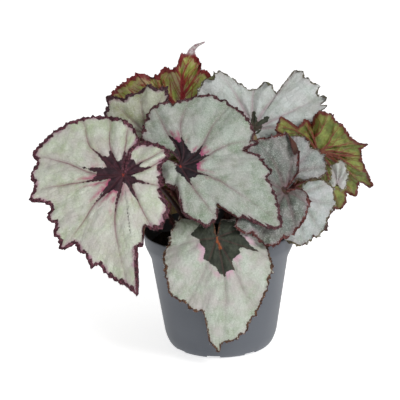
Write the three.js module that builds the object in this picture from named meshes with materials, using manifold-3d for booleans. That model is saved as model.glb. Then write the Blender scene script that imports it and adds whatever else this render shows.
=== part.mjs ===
// A young rex begonia in a round nursery pot.
// Millimetres, +Z up, +Y away from the front. The origin is the middle of the pot's foot, on the table.
import * as THREE from 'three';
import { mergeVertices } from 'three/addons/utils/BufferGeometryUtils.js';
import Module from 'manifold-3d';

const wasm = await Module();
wasm.setup();

// ---------------------------------------------------------------- driving dimensions

const GAP = 0.3;                    // clearance between pieces that touch

// pot
const POT_HEIGHT = 94;
const RIM_RADIUS = 60;              // a 12 cm pot
const WALL = 1.5;
const LIP_ROUND = 0.6;              // rounding of the rim's edge
const COLLAR_DEPTH = 10;            // the upright band under the rim
const COLLAR_TAPER = 0.8;           // how much narrower its lower edge is
const SHOULDER_Z = 73.3;            // where the collar's slope meets the wall
const SHOULDER_RADIUS = 54.5;
const HIP_Z = 11.5;                 // where the wall turns in to the foot
const HIP_RADIUS = 44.9;
const HIP_CURVE = [2, 5.8];         // a point of its curve: in from the hip's radius, and height
const FOOT_RADIUS = 38.5;
const FOOT_CURVE = [2.2, 1.8];      // a point of its curve: out from the foot's radius, and height
const FLOOR_Z = 3.5;                // underside of the raised floor
const FLOOR_SLOPE = 1;              // run of the slopes that lead up to it
const FOOT_RING_WIDTH = 3;
const BOSS_RADIUS = 12;             // flat disc in the middle of the floor, which stands on the table
const POT_SIDES = 48;
const NOTCHES = 8;                  // drainage notches cut in the foot
const NOTCH_WIDTH = 11;
const NOTCH_REACH = 14;             // length of the cut across the foot ring
const NOTCH_HEIGHT = 2;
const NOTCH_START = -10;            // degrees from +X
const DRAIN_HOLES = 8;
const DRAIN_RADIUS = 3.2;
const DRAIN_CIRCLE = 26;
const DRAIN_SIDES = 12;

// soil
const SOIL_Z = 82;                  // 12 mm under the rim
const SOIL_RELIEF = 1.3;            // height of its lumps
const SOIL_WAVES = [0.31, 0.27];    // how fast they follow each other along X and Y
const SOIL_EDGE_WIDENING = 1.6;     // the top follows the pot's slope out under the collar
const SOIL_WALL_GAP = 0.5;
const HOLE_GAP = 0.4;               // round a stalk
const SOIL_RINGS = 7;
const SOIL_SIDES = 48;
const SOIL_FLOOR_LIFT = 3;          // soil fines above the pot's floor slope

// rhizome, the short creeping stem half sunk in the soil
const RHIZOME_LENGTH = 48;
const RHIZOME_RADIUS = 6.2;
const RHIZOME_KNOB = 0.9;
const RHIZOME_WANDER = 1;           // how far it strays from straight
const RHIZOME_BENDS = [5, 4];       // how fast it strays sideways and up
const RHIZOME_BLUNT = 0.06;         // share of its swell that is cut off at each end
const RHIZOME_STEPS = 14;
const RHIZOME_SIDES = 16;

// leaves
const BLADE_THICKNESS = 1;
const STALK_TOP_RADIUS = 0.9;       // of the smallest leaf, at the blade
const STALK_RADIUS_GROWTH = 0.009;  // for each millimetre of the blade's length
const STALK_TAPER = 0.6;            // how much thicker the foot is
const STALK_CLIMB = 0.45;           // share of its height that a stalk climbs before it leans
const STALK_FOOT_Z = 68;            // how deep a stalk stands in the soil
const STALK_GAP = 0.5;              // between a stalk's top and its blade
const STALK_SIDES = 8;
const STALK_STEPS = 9;

// lobes that pass over each other part from this angle on, over this span
const LAP_START = 110;
const LAP_SPAN = 70;

const FINISHES = {
  pot: { color: 0x5f646b, roughness: 0.5 },
  soil: { color: 0x1f1712, roughness: 1 },
  rhizome: { color: 0x5c3a2c, roughness: 0.8 },
  blade: { color: 0xbfcbbd, roughness: 0.45 },
  stalk: { color: 0x5a2022, roughness: 0.7 },
};

// ---------------------------------------------------------------- leaves
// A leaf is placed by its joint, where the stalk meets the blade: joint is that point.
// face is the way the upper side looks, as a compass angle from the front (+ to the right) and a rise.
// roll turns the blade in its own plane: at 0 the tip points downhill.
// outline lists the margin as [angle from the tip in degrees, distance from the joint].
// cup lifts the margin (or drops it), waves are [count, phase, height, power] round the joint.
// lap turns the two sides of the notch at the joint, for negative and positive angles, as shares of the
// angle, and lapRise lifts one lobe over the other.
// hook is where the tip starts to turn aside, and how fast.
// bends are [where the bend starts, its radius], and a positive radius bends away from the upper side.
// foot is where the stalk enters the soil; reach is how far behind the blade the stalk straightens.

// an ordinary blade, as fractions of its length, for leaves whose outline the front view hides
const COMMON_OUTLINE = [
  [-165, 0.4], [-140, 0.58], [-118, 0.66], [-100, 0.67], [-88, 0.75], [-80, 0.66], [-64, 0.78], [-52, 0.7],
  [-42, 0.81], [-30, 0.73], [-18, 0.84], [-9, 0.8], [0, 1], [8, 0.82], [16, 0.75], [25, 0.77], [33, 0.65],
  [44, 0.68], [53, 0.58], [64, 0.6], [78, 0.5], [95, 0.48], [118, 0.44], [142, 0.4], [165, 0.3],
];

function commonOutline(length, mirrored = false) {
  const outline = COMMON_OUTLINE.map(([angle, share]) => [mirrored ? -angle : angle, share * length]);
  return mirrored ? outline.reverse() : outline;
}

const LEAVES = [
  {
    name: 'a',                      // large, front left; its basal lobes pass over each other
    joint: [-72.6, -46, 153.3],
    face: [-12, 28],
    roll: 12,
    cup: -6,
    lap: [0.08, 0.08],
    lapRise: 3.2,
    waves: [[7, 20, 1.8, 2], [12, 80, 1, 3]],
    outline: [
      [-210, 27], [-203, 33], [-193, 41], [-179, 47], [-165, 53], [-147, 60], [-133, 67], [-122, 72],
      [-113, 77], [-110, 71], [-99, 74], [-94, 70], [-85, 76], [-81, 64], [-77, 61], [-73, 66], [-69, 68],
      [-65, 63], [-60, 70], [-56, 69], [-49, 74], [-44, 63], [-38, 68], [-34, 66], [-27, 75], [-24, 70],
      [-17, 77], [-7, 84], [-1, 93], [0, 80], [1, 68], [2, 65], [3, 56], [7, 56], [12, 43], [16, 39],
      [20, 48], [26, 50], [33, 48], [42, 44], [49, 39], [56, 31], [72, 29], [83, 27], [98, 29], [104, 37],
      [111, 38], [128, 34], [146, 28], [163, 19],
    ],
    foot: [-24, -10],
    reach: 26,
  },
  {
    name: 'b',                      // large, front middle
    joint: [-29.4, -34.4, 156],
    face: [6, 40],
    roll: 54,
    cup: -4,
    lap: [0, 0.28],
    waves: [[6, 10, 2, 2], [11, 50, 1, 3]],
    outline: [
      [-190, 12], [-174, 15], [-159, 16], [-145, 15], [-122, 16], [-104, 18], [-83, 14], [-66, 14],
      [-62, 22], [-58, 31], [-55, 39], [-46, 44], [-40, 49], [-36, 53], [-27, 51], [-21, 47], [-15, 42],
      [-12, 58], [-8, 63], [-6, 75], [-3, 87], [0, 91], [4, 86], [11, 79], [17, 74], [26, 67], [30, 71],
      [36, 65], [44, 62], [51, 52], [54, 65], [69, 67], [88, 69], [104, 67], [114, 61], [121, 58],
      [127, 52], [131, 55], [143, 56], [153, 49], [162, 43], [174, 37],
    ],
    foot: [-12, -10],
    reach: 24,
  },
  {
    name: 'c',                      // arches over the front of the rim and hangs
    joint: [-2.3, -57, 104.5],
    face: [0, 24],
    roll: 0,
    cup: -6,
    waves: [[6, 60, 1.4, 2], [11, 20, 0.9, 3]],
    backBend: [0, 28],
    tipBend: [8, 120],
    outline: [
      [-172, 20], [-160, 26], [-145, 31], [-130, 35], [-116, 35], [-100, 35], [-85, 36], [-74, 43],
      [-62, 45], [-50, 50], [-42, 56], [-35, 57], [-28, 56], [-15, 61], [-12, 58], [-9, 64], [-7, 73],
      [-5, 84], [0, 95], [1, 86], [6, 84], [12, 80], [16, 78], [18, 72], [25, 68], [32, 61], [41, 56],
      [51, 50], [61, 48], [71, 41], [79, 39], [94, 36], [111, 33], [132, 31], [148, 28], [160, 25],
      [172, 20],
    ],
    foot: [0, -10],
    reach: 24,
  },
  {
    name: 'd',                      // back left, upright, its underside to the front
    joint: [-28.3, 44, 179.9],
    face: [172, 12],
    roll: 191,
    cup: 4,
    hook: [48, 0.05],
    waves: [[7, 0, 2.6, 2], [12, 40, 1.4, 3]],
    outline: [
      [-168, 12], [-150, 22], [-128, 32], [-111, 52], [-96, 59], [-88, 58], [-79, 53], [-63, 48],
      [-58, 46], [-55, 41], [-52, 36], [-43, 34], [-33, 37], [-20, 36], [-12, 40], [-9, 47], [-3, 50],
      [-2, 58], [0, 61], [2, 50], [6, 46], [13, 43], [15, 37], [18, 40], [26, 39], [32, 36], [49, 33],
      [80, 30], [115, 26], [150, 19], [168, 12],
    ],
    foot: [-10, 10],
    reach: 17,
  },
  {
    name: 'e',                      // between leaves a and d
    joint: [-55, 2, 172.8],
    face: [-14, 30],
    roll: -130,
    cup: -3,
    waves: [[7, 70, 1.8, 2], [12, 10, 1, 3]],
    outline: [
      [-158, 8], [-138, 10], [-101, 13], [-83, 23], [-71, 34], [-65, 41], [-56, 37], [-44, 40], [-30, 36],
      [-20, 38], [-12, 35], [0, 47], [8, 40], [17, 40], [25, 34], [34, 34], [50, 26], [80, 20], [120, 16],
      [150, 10],
    ],
    foot: [-20, 10],
    reach: 22,
  },
  {
    name: 'f',                      // upper right, folded along its midrib
    joint: [29.5, 21, 170.2],
    face: [8, 38],
    roll: 150,
    fold: 0.12,
    waves: [[7, 30, 2.4, 2], [12, 0, 1.3, 3]],
    outline: [
      [-164, 14], [-135, 16], [-107, 18], [-93, 19], [-80, 23], [-70, 29], [-62, 36], [-58, 47], [-52, 51],
      [-49, 60], [-45, 56], [-41, 64], [-38, 59], [-34, 59], [-30, 65], [-24, 62], [-17, 62], [-14, 66],
      [-9, 63], [-8, 63], [-7, 48], [-6, 37], [3, 38], [7, 40], [13, 38], [21, 34], [34, 34], [43, 40],
      [50, 49], [56, 54], [64, 52], [77, 54], [92, 50], [112, 42], [135, 34], [162, 26], [188, 12],
    ],
    foot: [4, 10],
    reach: 20,
  },
  {
    name: 'g',                      // right of the middle, cupped
    joint: [51.6, -27, 132.4],
    face: [16, 36],
    roll: -60,
    cup: 2,
    waves: [[6, 0, 1.8, 2], [11, 70, 1, 3]],
    outline: [
      [-166, 15], [-157, 22], [-149, 33], [-141, 41], [-134, 45], [-125, 46], [-117, 44], [-109, 43],
      [-102, 44], [-93, 43], [-79, 39], [-62, 35], [-51, 32], [-28, 38], [-15, 47], [-7, 46], [0, 54],
      [9, 52], [14, 47], [20, 48], [28, 50], [33, 50], [40, 46], [45, 39], [51, 38], [69, 31], [84, 26],
      [98, 22], [116, 21], [134, 13], [152, 8],
    ],
    foot: [12, -10],
    reach: 22,
  },
  {
    name: 'h1',                     // upper one of two small leaves behind g
    joint: [53.2, -8, 142.1],
    face: [18, 26],
    roll: 78,
    cup: -3,
    waves: [[6, 40, 1.6, 2], [11, 0, 1, 3]],
    outline: [
      [-160, 7], [-106, 7], [-59, 7], [-24, 10], [-9, 20], [-1, 29], [6, 33], [13, 34], [26, 35],
      [39, 34], [47, 30], [59, 32], [72, 32], [84, 29], [100, 22], [120, 18], [140, 15], [160, 10],
    ],
    foot: [14, 10],
    reach: 15,
  },
  {
    name: 'h2',                     // lower one of the two
    joint: [59.6, -18, 125.6],
    face: [24, 24],
    roll: -4,
    cup: -4,
    waves: [[6, 90, 1.6, 2], [11, 30, 1, 3]],
    outline: [
      [-150, 8], [-120, 8], [-90, 9], [-62, 15], [-46, 26], [-32, 34], [-21, 33], [-14, 36], [-2, 39],
      [8, 38], [19, 35], [29, 37], [51, 33], [62, 32], [76, 36], [95, 36], [106, 32], [118, 25],
      [135, 12],
    ],
    foot: [22, -9],
    reach: 11,
  },
  {
    name: 'i',                      // far right, its underside to the front
    joint: [80.4, 23.5, 150.3],
    face: [186, 20],
    roll: -106,
    cup: 3,
    backBend: [3, 28],
    waves: [[7, 10, 2.4, 2], [12, 60, 1.2, 3]],
    outline: [
      [-164, 12], [-148, 16], [-138, 24], [-131, 38], [-127, 48], [-120, 50], [-115, 49], [-113, 40],
      [-111, 28], [-103, 28], [-97, 29], [-92, 26], [-88, 20], [-84, 24], [-79, 32], [-75, 36], [-60, 35],
      [-47, 28], [-26, 28], [-10, 27], [5, 28], [11, 32], [14, 41], [21, 35], [35, 38], [44, 45],
      [57, 62], [61, 52], [70, 60], [75, 50], [80, 60], [87, 63], [92, 57], [95, 42], [102, 25],
      [130, 14],
    ],
    foot: [23, 12],
    reach: 12,
  },
  {
    name: 'k',                      // small young leaf in front of i
    joint: [95, 16, 125],
    face: [22, 22],
    roll: 160,
    cup: 1,
    waves: [[6, 20, 0.8, 2]],
    outline: [
      [-150, 6], [-104, 7], [-60, 8], [-38, 12], [-24, 14], [-10, 17], [0, 20], [14, 16], [28, 15],
      [38, 12], [52, 7], [105, 6], [150, 6],
    ],
    foot: [29, 2],
    reach: 9,
  },
  {
    name: 'l',                      // back right
    joint: [62, 58, 112],
    face: [175, 24],
    roll: -30,
    cup: -3,
    waves: [[7, 50, 1.6, 2], [12, 0, 0.8, 3]],
    outline: commonOutline(54, true),
    foot: [12, 19],
    reach: 17,
  },
  {
    name: 'm',                      // back, upper
    joint: [-15, 68, 140],
    face: [184, 38],
    roll: 8,
    cup: -5,
    waves: [[7, 10, 2, 2], [12, 30, 1, 3]],
    outline: commonOutline(62),
    foot: [-8, 20],
    reach: 20,
  },
  {
    name: 'n',                      // back left
    joint: [-65, 33, 141],
    face: [-122, 34],
    roll: -14,
    cup: -5,
    waves: [[7, 80, 2, 2], [12, 60, 1, 3]],
    outline: commonOutline(62, true),
    foot: [-20, 18],
    reach: 20,
  },
  {
    name: 'o',                      // back, low in the middle of the plant
    joint: [30, 41, 141],
    face: [166, 50],
    roll: 10,
    cup: -2,
    waves: [[7, 0, 1.4, 2], [12, 50, 0.8, 3]],
    outline: commonOutline(32, true),
    foot: [5, 20],
    reach: 14,
  },
  {
    name: 'p',                      // hangs over the back of the rim
    joint: [9, 72, 101],
    face: [188, 8],
    roll: -8,
    cup: -3,
    waves: [[6, 30, 1.6, 2], [11, 80, 1, 3]],
    backBend: [0, 24],
    outline: commonOutline(56),
    foot: [-2, 20],
    reach: 20,
  },
  {
    name: 'q',                      // back, lower left, under leaves m and n
    joint: [-37, 62, 110],
    face: [-172, 10],
    roll: 8,
    cup: -2,
    waves: [[7, 30, 1.6, 2], [12, 10, 0.8, 3]],
    backBend: [0, 30],
    outline: commonOutline(41, true),
    foot: [-14, 19],
    reach: 18,
  },
];

// ---------------------------------------------------------------- mesh helpers

const DEGREE = Math.PI / 180;

function closedGeometry(positions, triangles) {
  const geometry = new THREE.BufferGeometry();
  geometry.setAttribute('position', new THREE.Float32BufferAttribute(positions, 3));
  geometry.setIndex(triangles);
  return geometry;
}

function toSolid(source) {
  const geometry = source.clone();
  geometry.deleteAttribute('normal');
  geometry.deleteAttribute('uv');
  const merged = mergeVertices(geometry);
  return new wasm.Manifold(new wasm.Mesh({
    numProp: 3,
    vertProperties: Float32Array.from(merged.attributes.position.array),
    triVerts: Uint32Array.from(merged.index.array),
  }));
}

function toGeometry(solid) {
  const mesh = solid.getMesh();
  return closedGeometry(Array.from(mesh.vertProperties), Array.from(mesh.triVerts));
}

// a lathe whose axis is Z; the profile runs from the axis at the bottom to the axis at the top
function lathe(profile, sides) {
  const points = profile.map(([radius, z]) => new THREE.Vector2(radius, z));
  return new THREE.LatheGeometry(points, sides).rotateX(Math.PI / 2);
}

// a closed tube with flat ends: centres, directions and radii along it, sides round it
function sweep(centres, directions, radii, sides) {
  const positions = [];
  const triangles = [];
  let side = new THREE.Vector3(0, 1, 0);
  centres.forEach((centre, step) => {
    const along = directions[step];
    side = side.addScaledVector(along, -side.dot(along)).normalize();
    const across = new THREE.Vector3().crossVectors(along, side);
    for (let k = 0; k < sides; k += 1) {
      const turn = (2 * Math.PI * k) / sides;
      const point = centre.clone()
        .addScaledVector(side, radii[step] * Math.cos(turn))
        .addScaledVector(across, radii[step] * Math.sin(turn));
      positions.push(point.x, point.y, point.z);
    }
  });
  for (let step = 0; step < centres.length - 1; step += 1) {
    for (let k = 0; k < sides; k += 1) {
      const a = step * sides + k;
      const b = step * sides + ((k + 1) % sides);
      triangles.push(a, b, b + sides, a, b + sides, a + sides);
    }
  }
  const last = (centres.length - 1) * sides;
  for (let k = 1; k < sides - 1; k += 1) {
    triangles.push(0, k + 1, k);
    triangles.push(last, last + k, last + k + 1);
  }
  return closedGeometry(positions, triangles);
}

function lapShare(angle) {
  return THREE.MathUtils.smoothstep(Math.abs(angle), LAP_START, LAP_START + LAP_SPAN);
}

// ---------------------------------------------------------------- the leaf's surface

function leafAxes(leaf) {
  const [compass, rise] = leaf.face.map((angle) => angle * DEGREE);
  const up = new THREE.Vector3(
    Math.sin(compass) * Math.cos(rise),
    -Math.cos(compass) * Math.cos(rise),
    Math.sin(rise),
  );
  const downhill = new THREE.Vector3(0, 0, -1).addScaledVector(up, up.z).normalize();
  const level = new THREE.Vector3().crossVectors(up, downhill);
  const turn = leaf.roll * DEGREE;
  const tip = downhill.multiplyScalar(Math.cos(turn)).addScaledVector(level, Math.sin(turn));
  const side = new THREE.Vector3().crossVectors(up, tip);
  return { up, tip, side };
}

// rolls what lies past the start of a bend round its radius
function bend([start, radius] = [0, 0], along, height) {
  const past = along - start;
  if (!radius || past <= 0) {
    return [along, height];
  }
  const turn = past / radius;
  return [start + (radius + height) * Math.sin(turn), (radius + height) * Math.cos(turn) - radius];
}

// the blade's middle surface at an angle from the tip and a share of the way out to the margin
function bladePoint(leaf, axes, angle, reach, share) {
  const out = share * reach;
  let height = (leaf.cup ?? 0) * share ** 2;
  height += (leaf.lapRise ?? 0) * Math.sign(angle) * lapShare(angle) * share;
  for (const [count, phase, rise, power] of leaf.waves) {
    height += rise * share ** power * Math.sin((count * angle + phase) * DEGREE);
  }
  const [lowerLap, upperLap] = leaf.lap ?? [0, 0];
  const lap = angle < 0 ? lowerLap : upperLap;
  const turned = angle * (1 - lap * (1 - share) ** 2) * DEGREE;
  let along = out * Math.cos(turned);
  let across = out * Math.sin(turned);
  height += (leaf.fold ?? 0) * Math.abs(across);
  const [hookStart, hookRate] = leaf.hook ?? [0, 0];
  across += hookRate * Math.max(along - hookStart, 0) ** 2;
  [along, height] = bend(leaf.tipBend, along, height);
  const [back, bent] = bend(leaf.backBend, -along, height);
  return new THREE.Vector3(...leaf.joint)
    .addScaledVector(axes.tip, -back)
    .addScaledVector(axes.side, across)
    .addScaledVector(axes.up, bent);
}

// spreads the steps round the margin so that every point of the outline is one of them
function marginSteps(outline, steps) {
  const spans = outline.slice(1).map(([angle], k) => angle - outline[k][0]);
  const counts = spans.map(() => 1);
  for (let left = steps - spans.length; left > 0; left -= 1) {
    const widths = spans.map((span, k) => span / counts[k]);
    counts[widths.indexOf(Math.max(...widths))] += 1;
  }
  const margin = [outline[0]];
  spans.forEach((span, k) => {
    const [angle, reach] = outline[k];
    const rise = outline[k + 1][1] - reach;
    for (let j = 1; j <= counts[k]; j += 1) {
      const part = j / counts[k];
      margin.push([angle + part * span, reach + part * rise]);
    }
  });
  return margin;
}

const LARGE_BLADE = { steps: 96, rings: [[0.14, 12], [0.38, 24], [0.7, 48], [1, 96]] };
const SMALL_BLADE = { steps: 48, rings: [[0.22, 12], [0.6, 24], [1, 48]] };
const LARGE_OUTLINE_POINTS = 26;    // an outline with more points than this needs the finer blade

// both faces of a blade have the same triangles, one thickness apart along the leaf's own axis
function bladeGeometry(leaf) {
  const axes = leafAxes(leaf);
  const plan = leaf.outline.length > LARGE_OUTLINE_POINTS ? LARGE_BLADE : SMALL_BLADE;
  const margin = marginSteps(leaf.outline, plan.steps);
  const points = [bladePoint(leaf, axes, 0, 0, 0)];
  const ringStart = [];
  for (const [share, steps] of plan.rings) {
    ringStart.push(points.length);
    const stride = plan.steps / steps;
    for (let k = 0; k <= steps; k += 1) {
      const [angle, reach] = margin[k * stride];
      points.push(bladePoint(leaf, axes, angle, reach, share));
    }
  }
  const faces = [];
  for (let k = 0; k < plan.rings[0][1]; k += 1) {
    faces.push([0, ringStart[0] + k, ringStart[0] + k + 1]);
  }
  for (let ring = 1; ring < plan.rings.length; ring += 1) {
    for (let k = 0; k < plan.rings[ring - 1][1]; k += 1) {
      const inner = ringStart[ring - 1] + k;
      const outer = ringStart[ring] + 2 * k;
      faces.push([inner, outer, outer + 1], [inner, outer + 1, inner + 1]);
      faces.push([inner + 1, outer + 1, outer + 2]);
    }
  }
  const rim = [0, ...ringStart];
  for (let k = 1; k <= plan.steps; k += 1) {
    rim.push(ringStart.at(-1) + k);
  }
  plan.rings.slice(0, -1).forEach(([, steps], ring) => {
    rim.splice(plan.steps + plan.rings.length + 1, 0, ringStart[ring] + steps);
  });
  const half = BLADE_THICKNESS / 2;
  const upper = points.map((point) => point.clone().addScaledVector(axes.up, half));
  const lower = points.map((point) => point.clone().addScaledVector(axes.up, -half));
  const count = points.length;
  const triangles = [];
  for (const [a, b, c] of faces) {
    triangles.push(a, b, c, a + count, c + count, b + count);
  }
  rim.forEach((a, k) => {
    const b = rim[(k + 1) % rim.length];
    triangles.push(a, a + count, b + count, a, b + count, b);
  });
  return closedGeometry([...upper, ...lower].flatMap((point) => point.toArray()), triangles);
}

// a stalk rises from its foot in the soil, arches over and meets the blade from behind
function stalkGeometry(leaf, extra = 0) {
  const { up } = leafAxes(leaf);
  const length = Math.max(...leaf.outline.map(([, reach]) => reach));
  const top = new THREE.Vector3(...leaf.joint).addScaledVector(up, -(BLADE_THICKNESS / 2 + STALK_GAP));
  const foot = new THREE.Vector3(...leaf.foot, STALK_FOOT_Z - extra);
  const climb = (top.z - STALK_FOOT_Z) * STALK_CLIMB;
  const curve = new THREE.CubicBezierCurve3(
    foot,
    foot.clone().add(new THREE.Vector3(0, 0, climb)),
    top.clone().addScaledVector(up, -leaf.reach),
    top,
  );
  const centres = [];
  const directions = [];
  const radii = [];
  for (let step = 0; step <= STALK_STEPS; step += 1) {
    const share = step / STALK_STEPS;
    centres.push(curve.getPoint(share));
    directions.push(curve.getTangent(share));
    radii.push(extra + STALK_TOP_RADIUS + STALK_RADIUS_GROWTH * length + STALK_TAPER * (1 - share));
  }
  return sweep(centres, directions, radii, STALK_SIDES);
}

// ---------------------------------------------------------------- pot, soil and rhizome

function potGeometry() {
  const ringInside = FOOT_RADIUS - FOOT_RING_WIDTH;
  const collarFoot = RIM_RADIUS - COLLAR_TAPER;
  const profile = [
    [0, 0],
    [BOSS_RADIUS, 0],
    [BOSS_RADIUS + FLOOR_SLOPE, FLOOR_Z],
    [ringInside - FLOOR_SLOPE, FLOOR_Z],
    [ringInside, 0],
    [FOOT_RADIUS, 0],
    [FOOT_RADIUS + FOOT_CURVE[0], FOOT_CURVE[1]],
    [HIP_RADIUS - HIP_CURVE[0], HIP_CURVE[1]],
    [HIP_RADIUS, HIP_Z],
    [SHOULDER_RADIUS, SHOULDER_Z],
    [collarFoot, POT_HEIGHT - COLLAR_DEPTH],
    [RIM_RADIUS, POT_HEIGHT - LIP_ROUND],
    [RIM_RADIUS - LIP_ROUND, POT_HEIGHT],
    [RIM_RADIUS - WALL, POT_HEIGHT - LIP_ROUND],
    [collarFoot - WALL, POT_HEIGHT - COLLAR_DEPTH],
    [SHOULDER_RADIUS - WALL, SHOULDER_Z],
    [HIP_RADIUS - WALL, HIP_Z],
    [FOOT_RADIUS, FLOOR_Z + WALL],
    [BOSS_RADIUS, FLOOR_Z + WALL],
    [BOSS_RADIUS - FLOOR_SLOPE, WALL],
    [0, WALL],
  ];
  let pot = toSolid(lathe(profile, POT_SIDES));
  for (let k = 0; k < NOTCHES; k += 1) {
    const notch = new THREE.BoxGeometry(NOTCH_REACH, NOTCH_WIDTH, 2 * NOTCH_HEIGHT);
    notch.translate(FOOT_RADIUS, 0, 0);
    notch.rotateZ(NOTCH_START * DEGREE + (k * 2 * Math.PI) / NOTCHES);
    pot = pot.subtract(toSolid(notch));
  }
  for (let k = 0; k < DRAIN_HOLES; k += 1) {
    const hole = new THREE.CylinderGeometry(DRAIN_RADIUS, DRAIN_RADIUS, 4 * FLOOR_Z, DRAIN_SIDES);
    hole.rotateX(Math.PI / 2);
    hole.translate(DRAIN_CIRCLE, 0, FLOOR_Z);
    hole.rotateZ((k * 2 * Math.PI) / DRAIN_HOLES);
    pot = pot.subtract(toSolid(hole));
  }
  return toGeometry(pot);
}

function rhizomeGeometry(extra = 0) {
  const centres = [];
  const directions = [];
  const radii = [];
  for (let step = 0; step <= RHIZOME_STEPS; step += 1) {
    const share = step / RHIZOME_STEPS;
    const swellShare = THREE.MathUtils.lerp(RHIZOME_BLUNT, 1 - RHIZOME_BLUNT, share);
    const swell = Math.sqrt(Math.sin(Math.PI * swellShare));
    const knob = RHIZOME_KNOB * (step % 2);
    centres.push(new THREE.Vector3(
      (share - 0.5) * (RHIZOME_LENGTH + 2 * extra),
      RHIZOME_WANDER * Math.sin(RHIZOME_BENDS[0] * share),
      SOIL_Z + RHIZOME_WANDER * Math.sin(RHIZOME_BENDS[1] * share),
    ));
    directions.push(new THREE.Vector3(1, 0, 0));
    radii.push(extra + swell * (RHIZOME_RADIUS - knob));
  }
  return sweep(centres, directions, radii, RHIZOME_SIDES);
}

// the soil's top is a grid of rings with gentle lumps; it narrows with the pot to the floor
function soilGeometry() {
  const wallRadius = (z) => {
    const slope = (SHOULDER_RADIUS - HIP_RADIUS) / (SHOULDER_Z - HIP_Z);
    return HIP_RADIUS + slope * (z - HIP_Z) - WALL - SOIL_WALL_GAP;
  };
  const positions = [0, 0, SOIL_Z];
  const triangles = [];
  for (let ring = 1; ring <= SOIL_RINGS; ring += 1) {
    const radius = (ring / SOIL_RINGS) * (wallRadius(SHOULDER_Z) + SOIL_EDGE_WIDENING);
    for (let k = 0; k < SOIL_SIDES; k += 1) {
      const turn = (2 * Math.PI * k) / SOIL_SIDES;
      const x = radius * Math.cos(turn);
      const y = radius * Math.sin(turn);
      const lump = Math.sin(SOIL_WAVES[0] * x + 1) * Math.cos(SOIL_WAVES[1] * y);
      positions.push(x, y, SOIL_Z + SOIL_RELIEF * lump);
    }
  }
  const lowerRings = [
    [wallRadius(SHOULDER_Z), SHOULDER_Z],
    [wallRadius(HIP_Z), HIP_Z],
    [FOOT_RADIUS - WALL, FLOOR_Z + SOIL_FLOOR_LIFT],
  ];
  for (const [radius, z] of lowerRings) {
    for (let k = 0; k < SOIL_SIDES; k += 1) {
      const turn = (2 * Math.PI * k) / SOIL_SIDES;
      positions.push(radius * Math.cos(turn), radius * Math.sin(turn), z);
    }
  }
  const rings = SOIL_RINGS + lowerRings.length;
  for (let k = 0; k < SOIL_SIDES; k += 1) {
    const next = (k + 1) % SOIL_SIDES;
    triangles.push(0, 1 + k, 1 + next);
    for (let ring = 0; ring < rings - 1; ring += 1) {
      const inner = 1 + ring * SOIL_SIDES;
      const outer = inner + SOIL_SIDES;
      triangles.push(inner + k, outer + k, outer + next, inner + k, outer + next, inner + next);
    }
    const bottom = 1 + (rings - 1) * SOIL_SIDES;
    triangles.push(1 + rings * SOIL_SIDES, bottom + next, bottom + k);
  }
  positions.push(0, 0, FLOOR_Z + SOIL_FLOOR_LIFT);
  let soil = toSolid(closedGeometry(positions, triangles));
  soil = soil.subtract(toSolid(rhizomeGeometry(GAP)));
  for (const leaf of LEAVES) {
    soil = soil.subtract(toSolid(stalkGeometry(leaf, HOLE_GAP)));
  }
  return toGeometry(soil);
}

// ---------------------------------------------------------------- the whole plant

const group = new THREE.Group();

function addMesh(name, geometry, finish) {
  const material = new THREE.MeshStandardMaterial({ ...finish, metalness: 0 });
  const mesh = new THREE.Mesh(geometry, material);
  mesh.name = name;
  group.add(mesh);
}

addMesh('pot', potGeometry(), FINISHES.pot);
addMesh('soil', soilGeometry(), FINISHES.soil);
addMesh('rhizome', rhizomeGeometry(), FINISHES.rhizome);
for (const leaf of LEAVES) {
  addMesh(`leaf_${leaf.name}_blade`, bladeGeometry(leaf), FINISHES.blade);
  addMesh(`leaf_${leaf.name}_stalk`, stalkGeometry(leaf), FINISHES.stalk);
}

export default group;
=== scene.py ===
"""A young rex begonia in a round nursery pot: its looks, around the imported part.

Measures are in millimetres and degrees, as in the part's source, and meshes are made in metres. Each blade
has the form of its solid, but for the outlines of leaves a, b and g, which differ from it by up to 4 mm at a
notch.
"""
import math
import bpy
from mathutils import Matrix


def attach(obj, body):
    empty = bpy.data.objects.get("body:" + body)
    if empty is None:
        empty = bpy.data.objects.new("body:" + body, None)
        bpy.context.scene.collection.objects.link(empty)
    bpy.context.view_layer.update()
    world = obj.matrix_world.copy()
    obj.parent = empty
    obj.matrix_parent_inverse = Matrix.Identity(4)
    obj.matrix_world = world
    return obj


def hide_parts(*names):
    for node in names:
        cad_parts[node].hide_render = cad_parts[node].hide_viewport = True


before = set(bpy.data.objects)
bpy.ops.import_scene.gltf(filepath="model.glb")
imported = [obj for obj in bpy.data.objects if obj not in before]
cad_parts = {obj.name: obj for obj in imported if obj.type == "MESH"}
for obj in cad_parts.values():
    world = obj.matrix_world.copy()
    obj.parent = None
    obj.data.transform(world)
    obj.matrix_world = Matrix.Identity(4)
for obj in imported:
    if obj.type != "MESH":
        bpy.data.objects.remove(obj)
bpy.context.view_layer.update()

from types import SimpleNamespace

import bpy
import numpy as np
from mathutils import Matrix, Vector

MM = 0.001
DEGREE = math.pi / 180
FULL_TURN = 2 * math.pi

# ---------------------------------------------------------------- the leaves' measures

# an ordinary blade's outline, as degrees from the tip and shares of the blade's length
COMMON_OUTLINE = [
    (-165, 0.4), (-140, 0.58), (-118, 0.66), (-100, 0.67), (-88, 0.75), (-80, 0.66), (-64, 0.78), (-52, 0.7),
    (-42, 0.81), (-30, 0.73), (-18, 0.84), (-9, 0.8), (0, 1), (8, 0.82), (16, 0.75), (25, 0.77), (33, 0.65),
    (44, 0.68), (53, 0.58), (64, 0.6), (78, 0.5), (95, 0.48), (118, 0.44), (142, 0.4), (165, 0.3),
]
# its main veins: where each meets the margin, in degrees from the tip
COMMON_VEINS = [-130, -88, -42, 0, 44, 95, 140]
COMMON_STAR_ARM = 0.36      # share of the blade's length that the star reaches along a main vein
COMMON_STAR_BODY = 0.15     # and between two veins
COMMON_ARM_HALF_WIDTH = 9   # degrees


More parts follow.
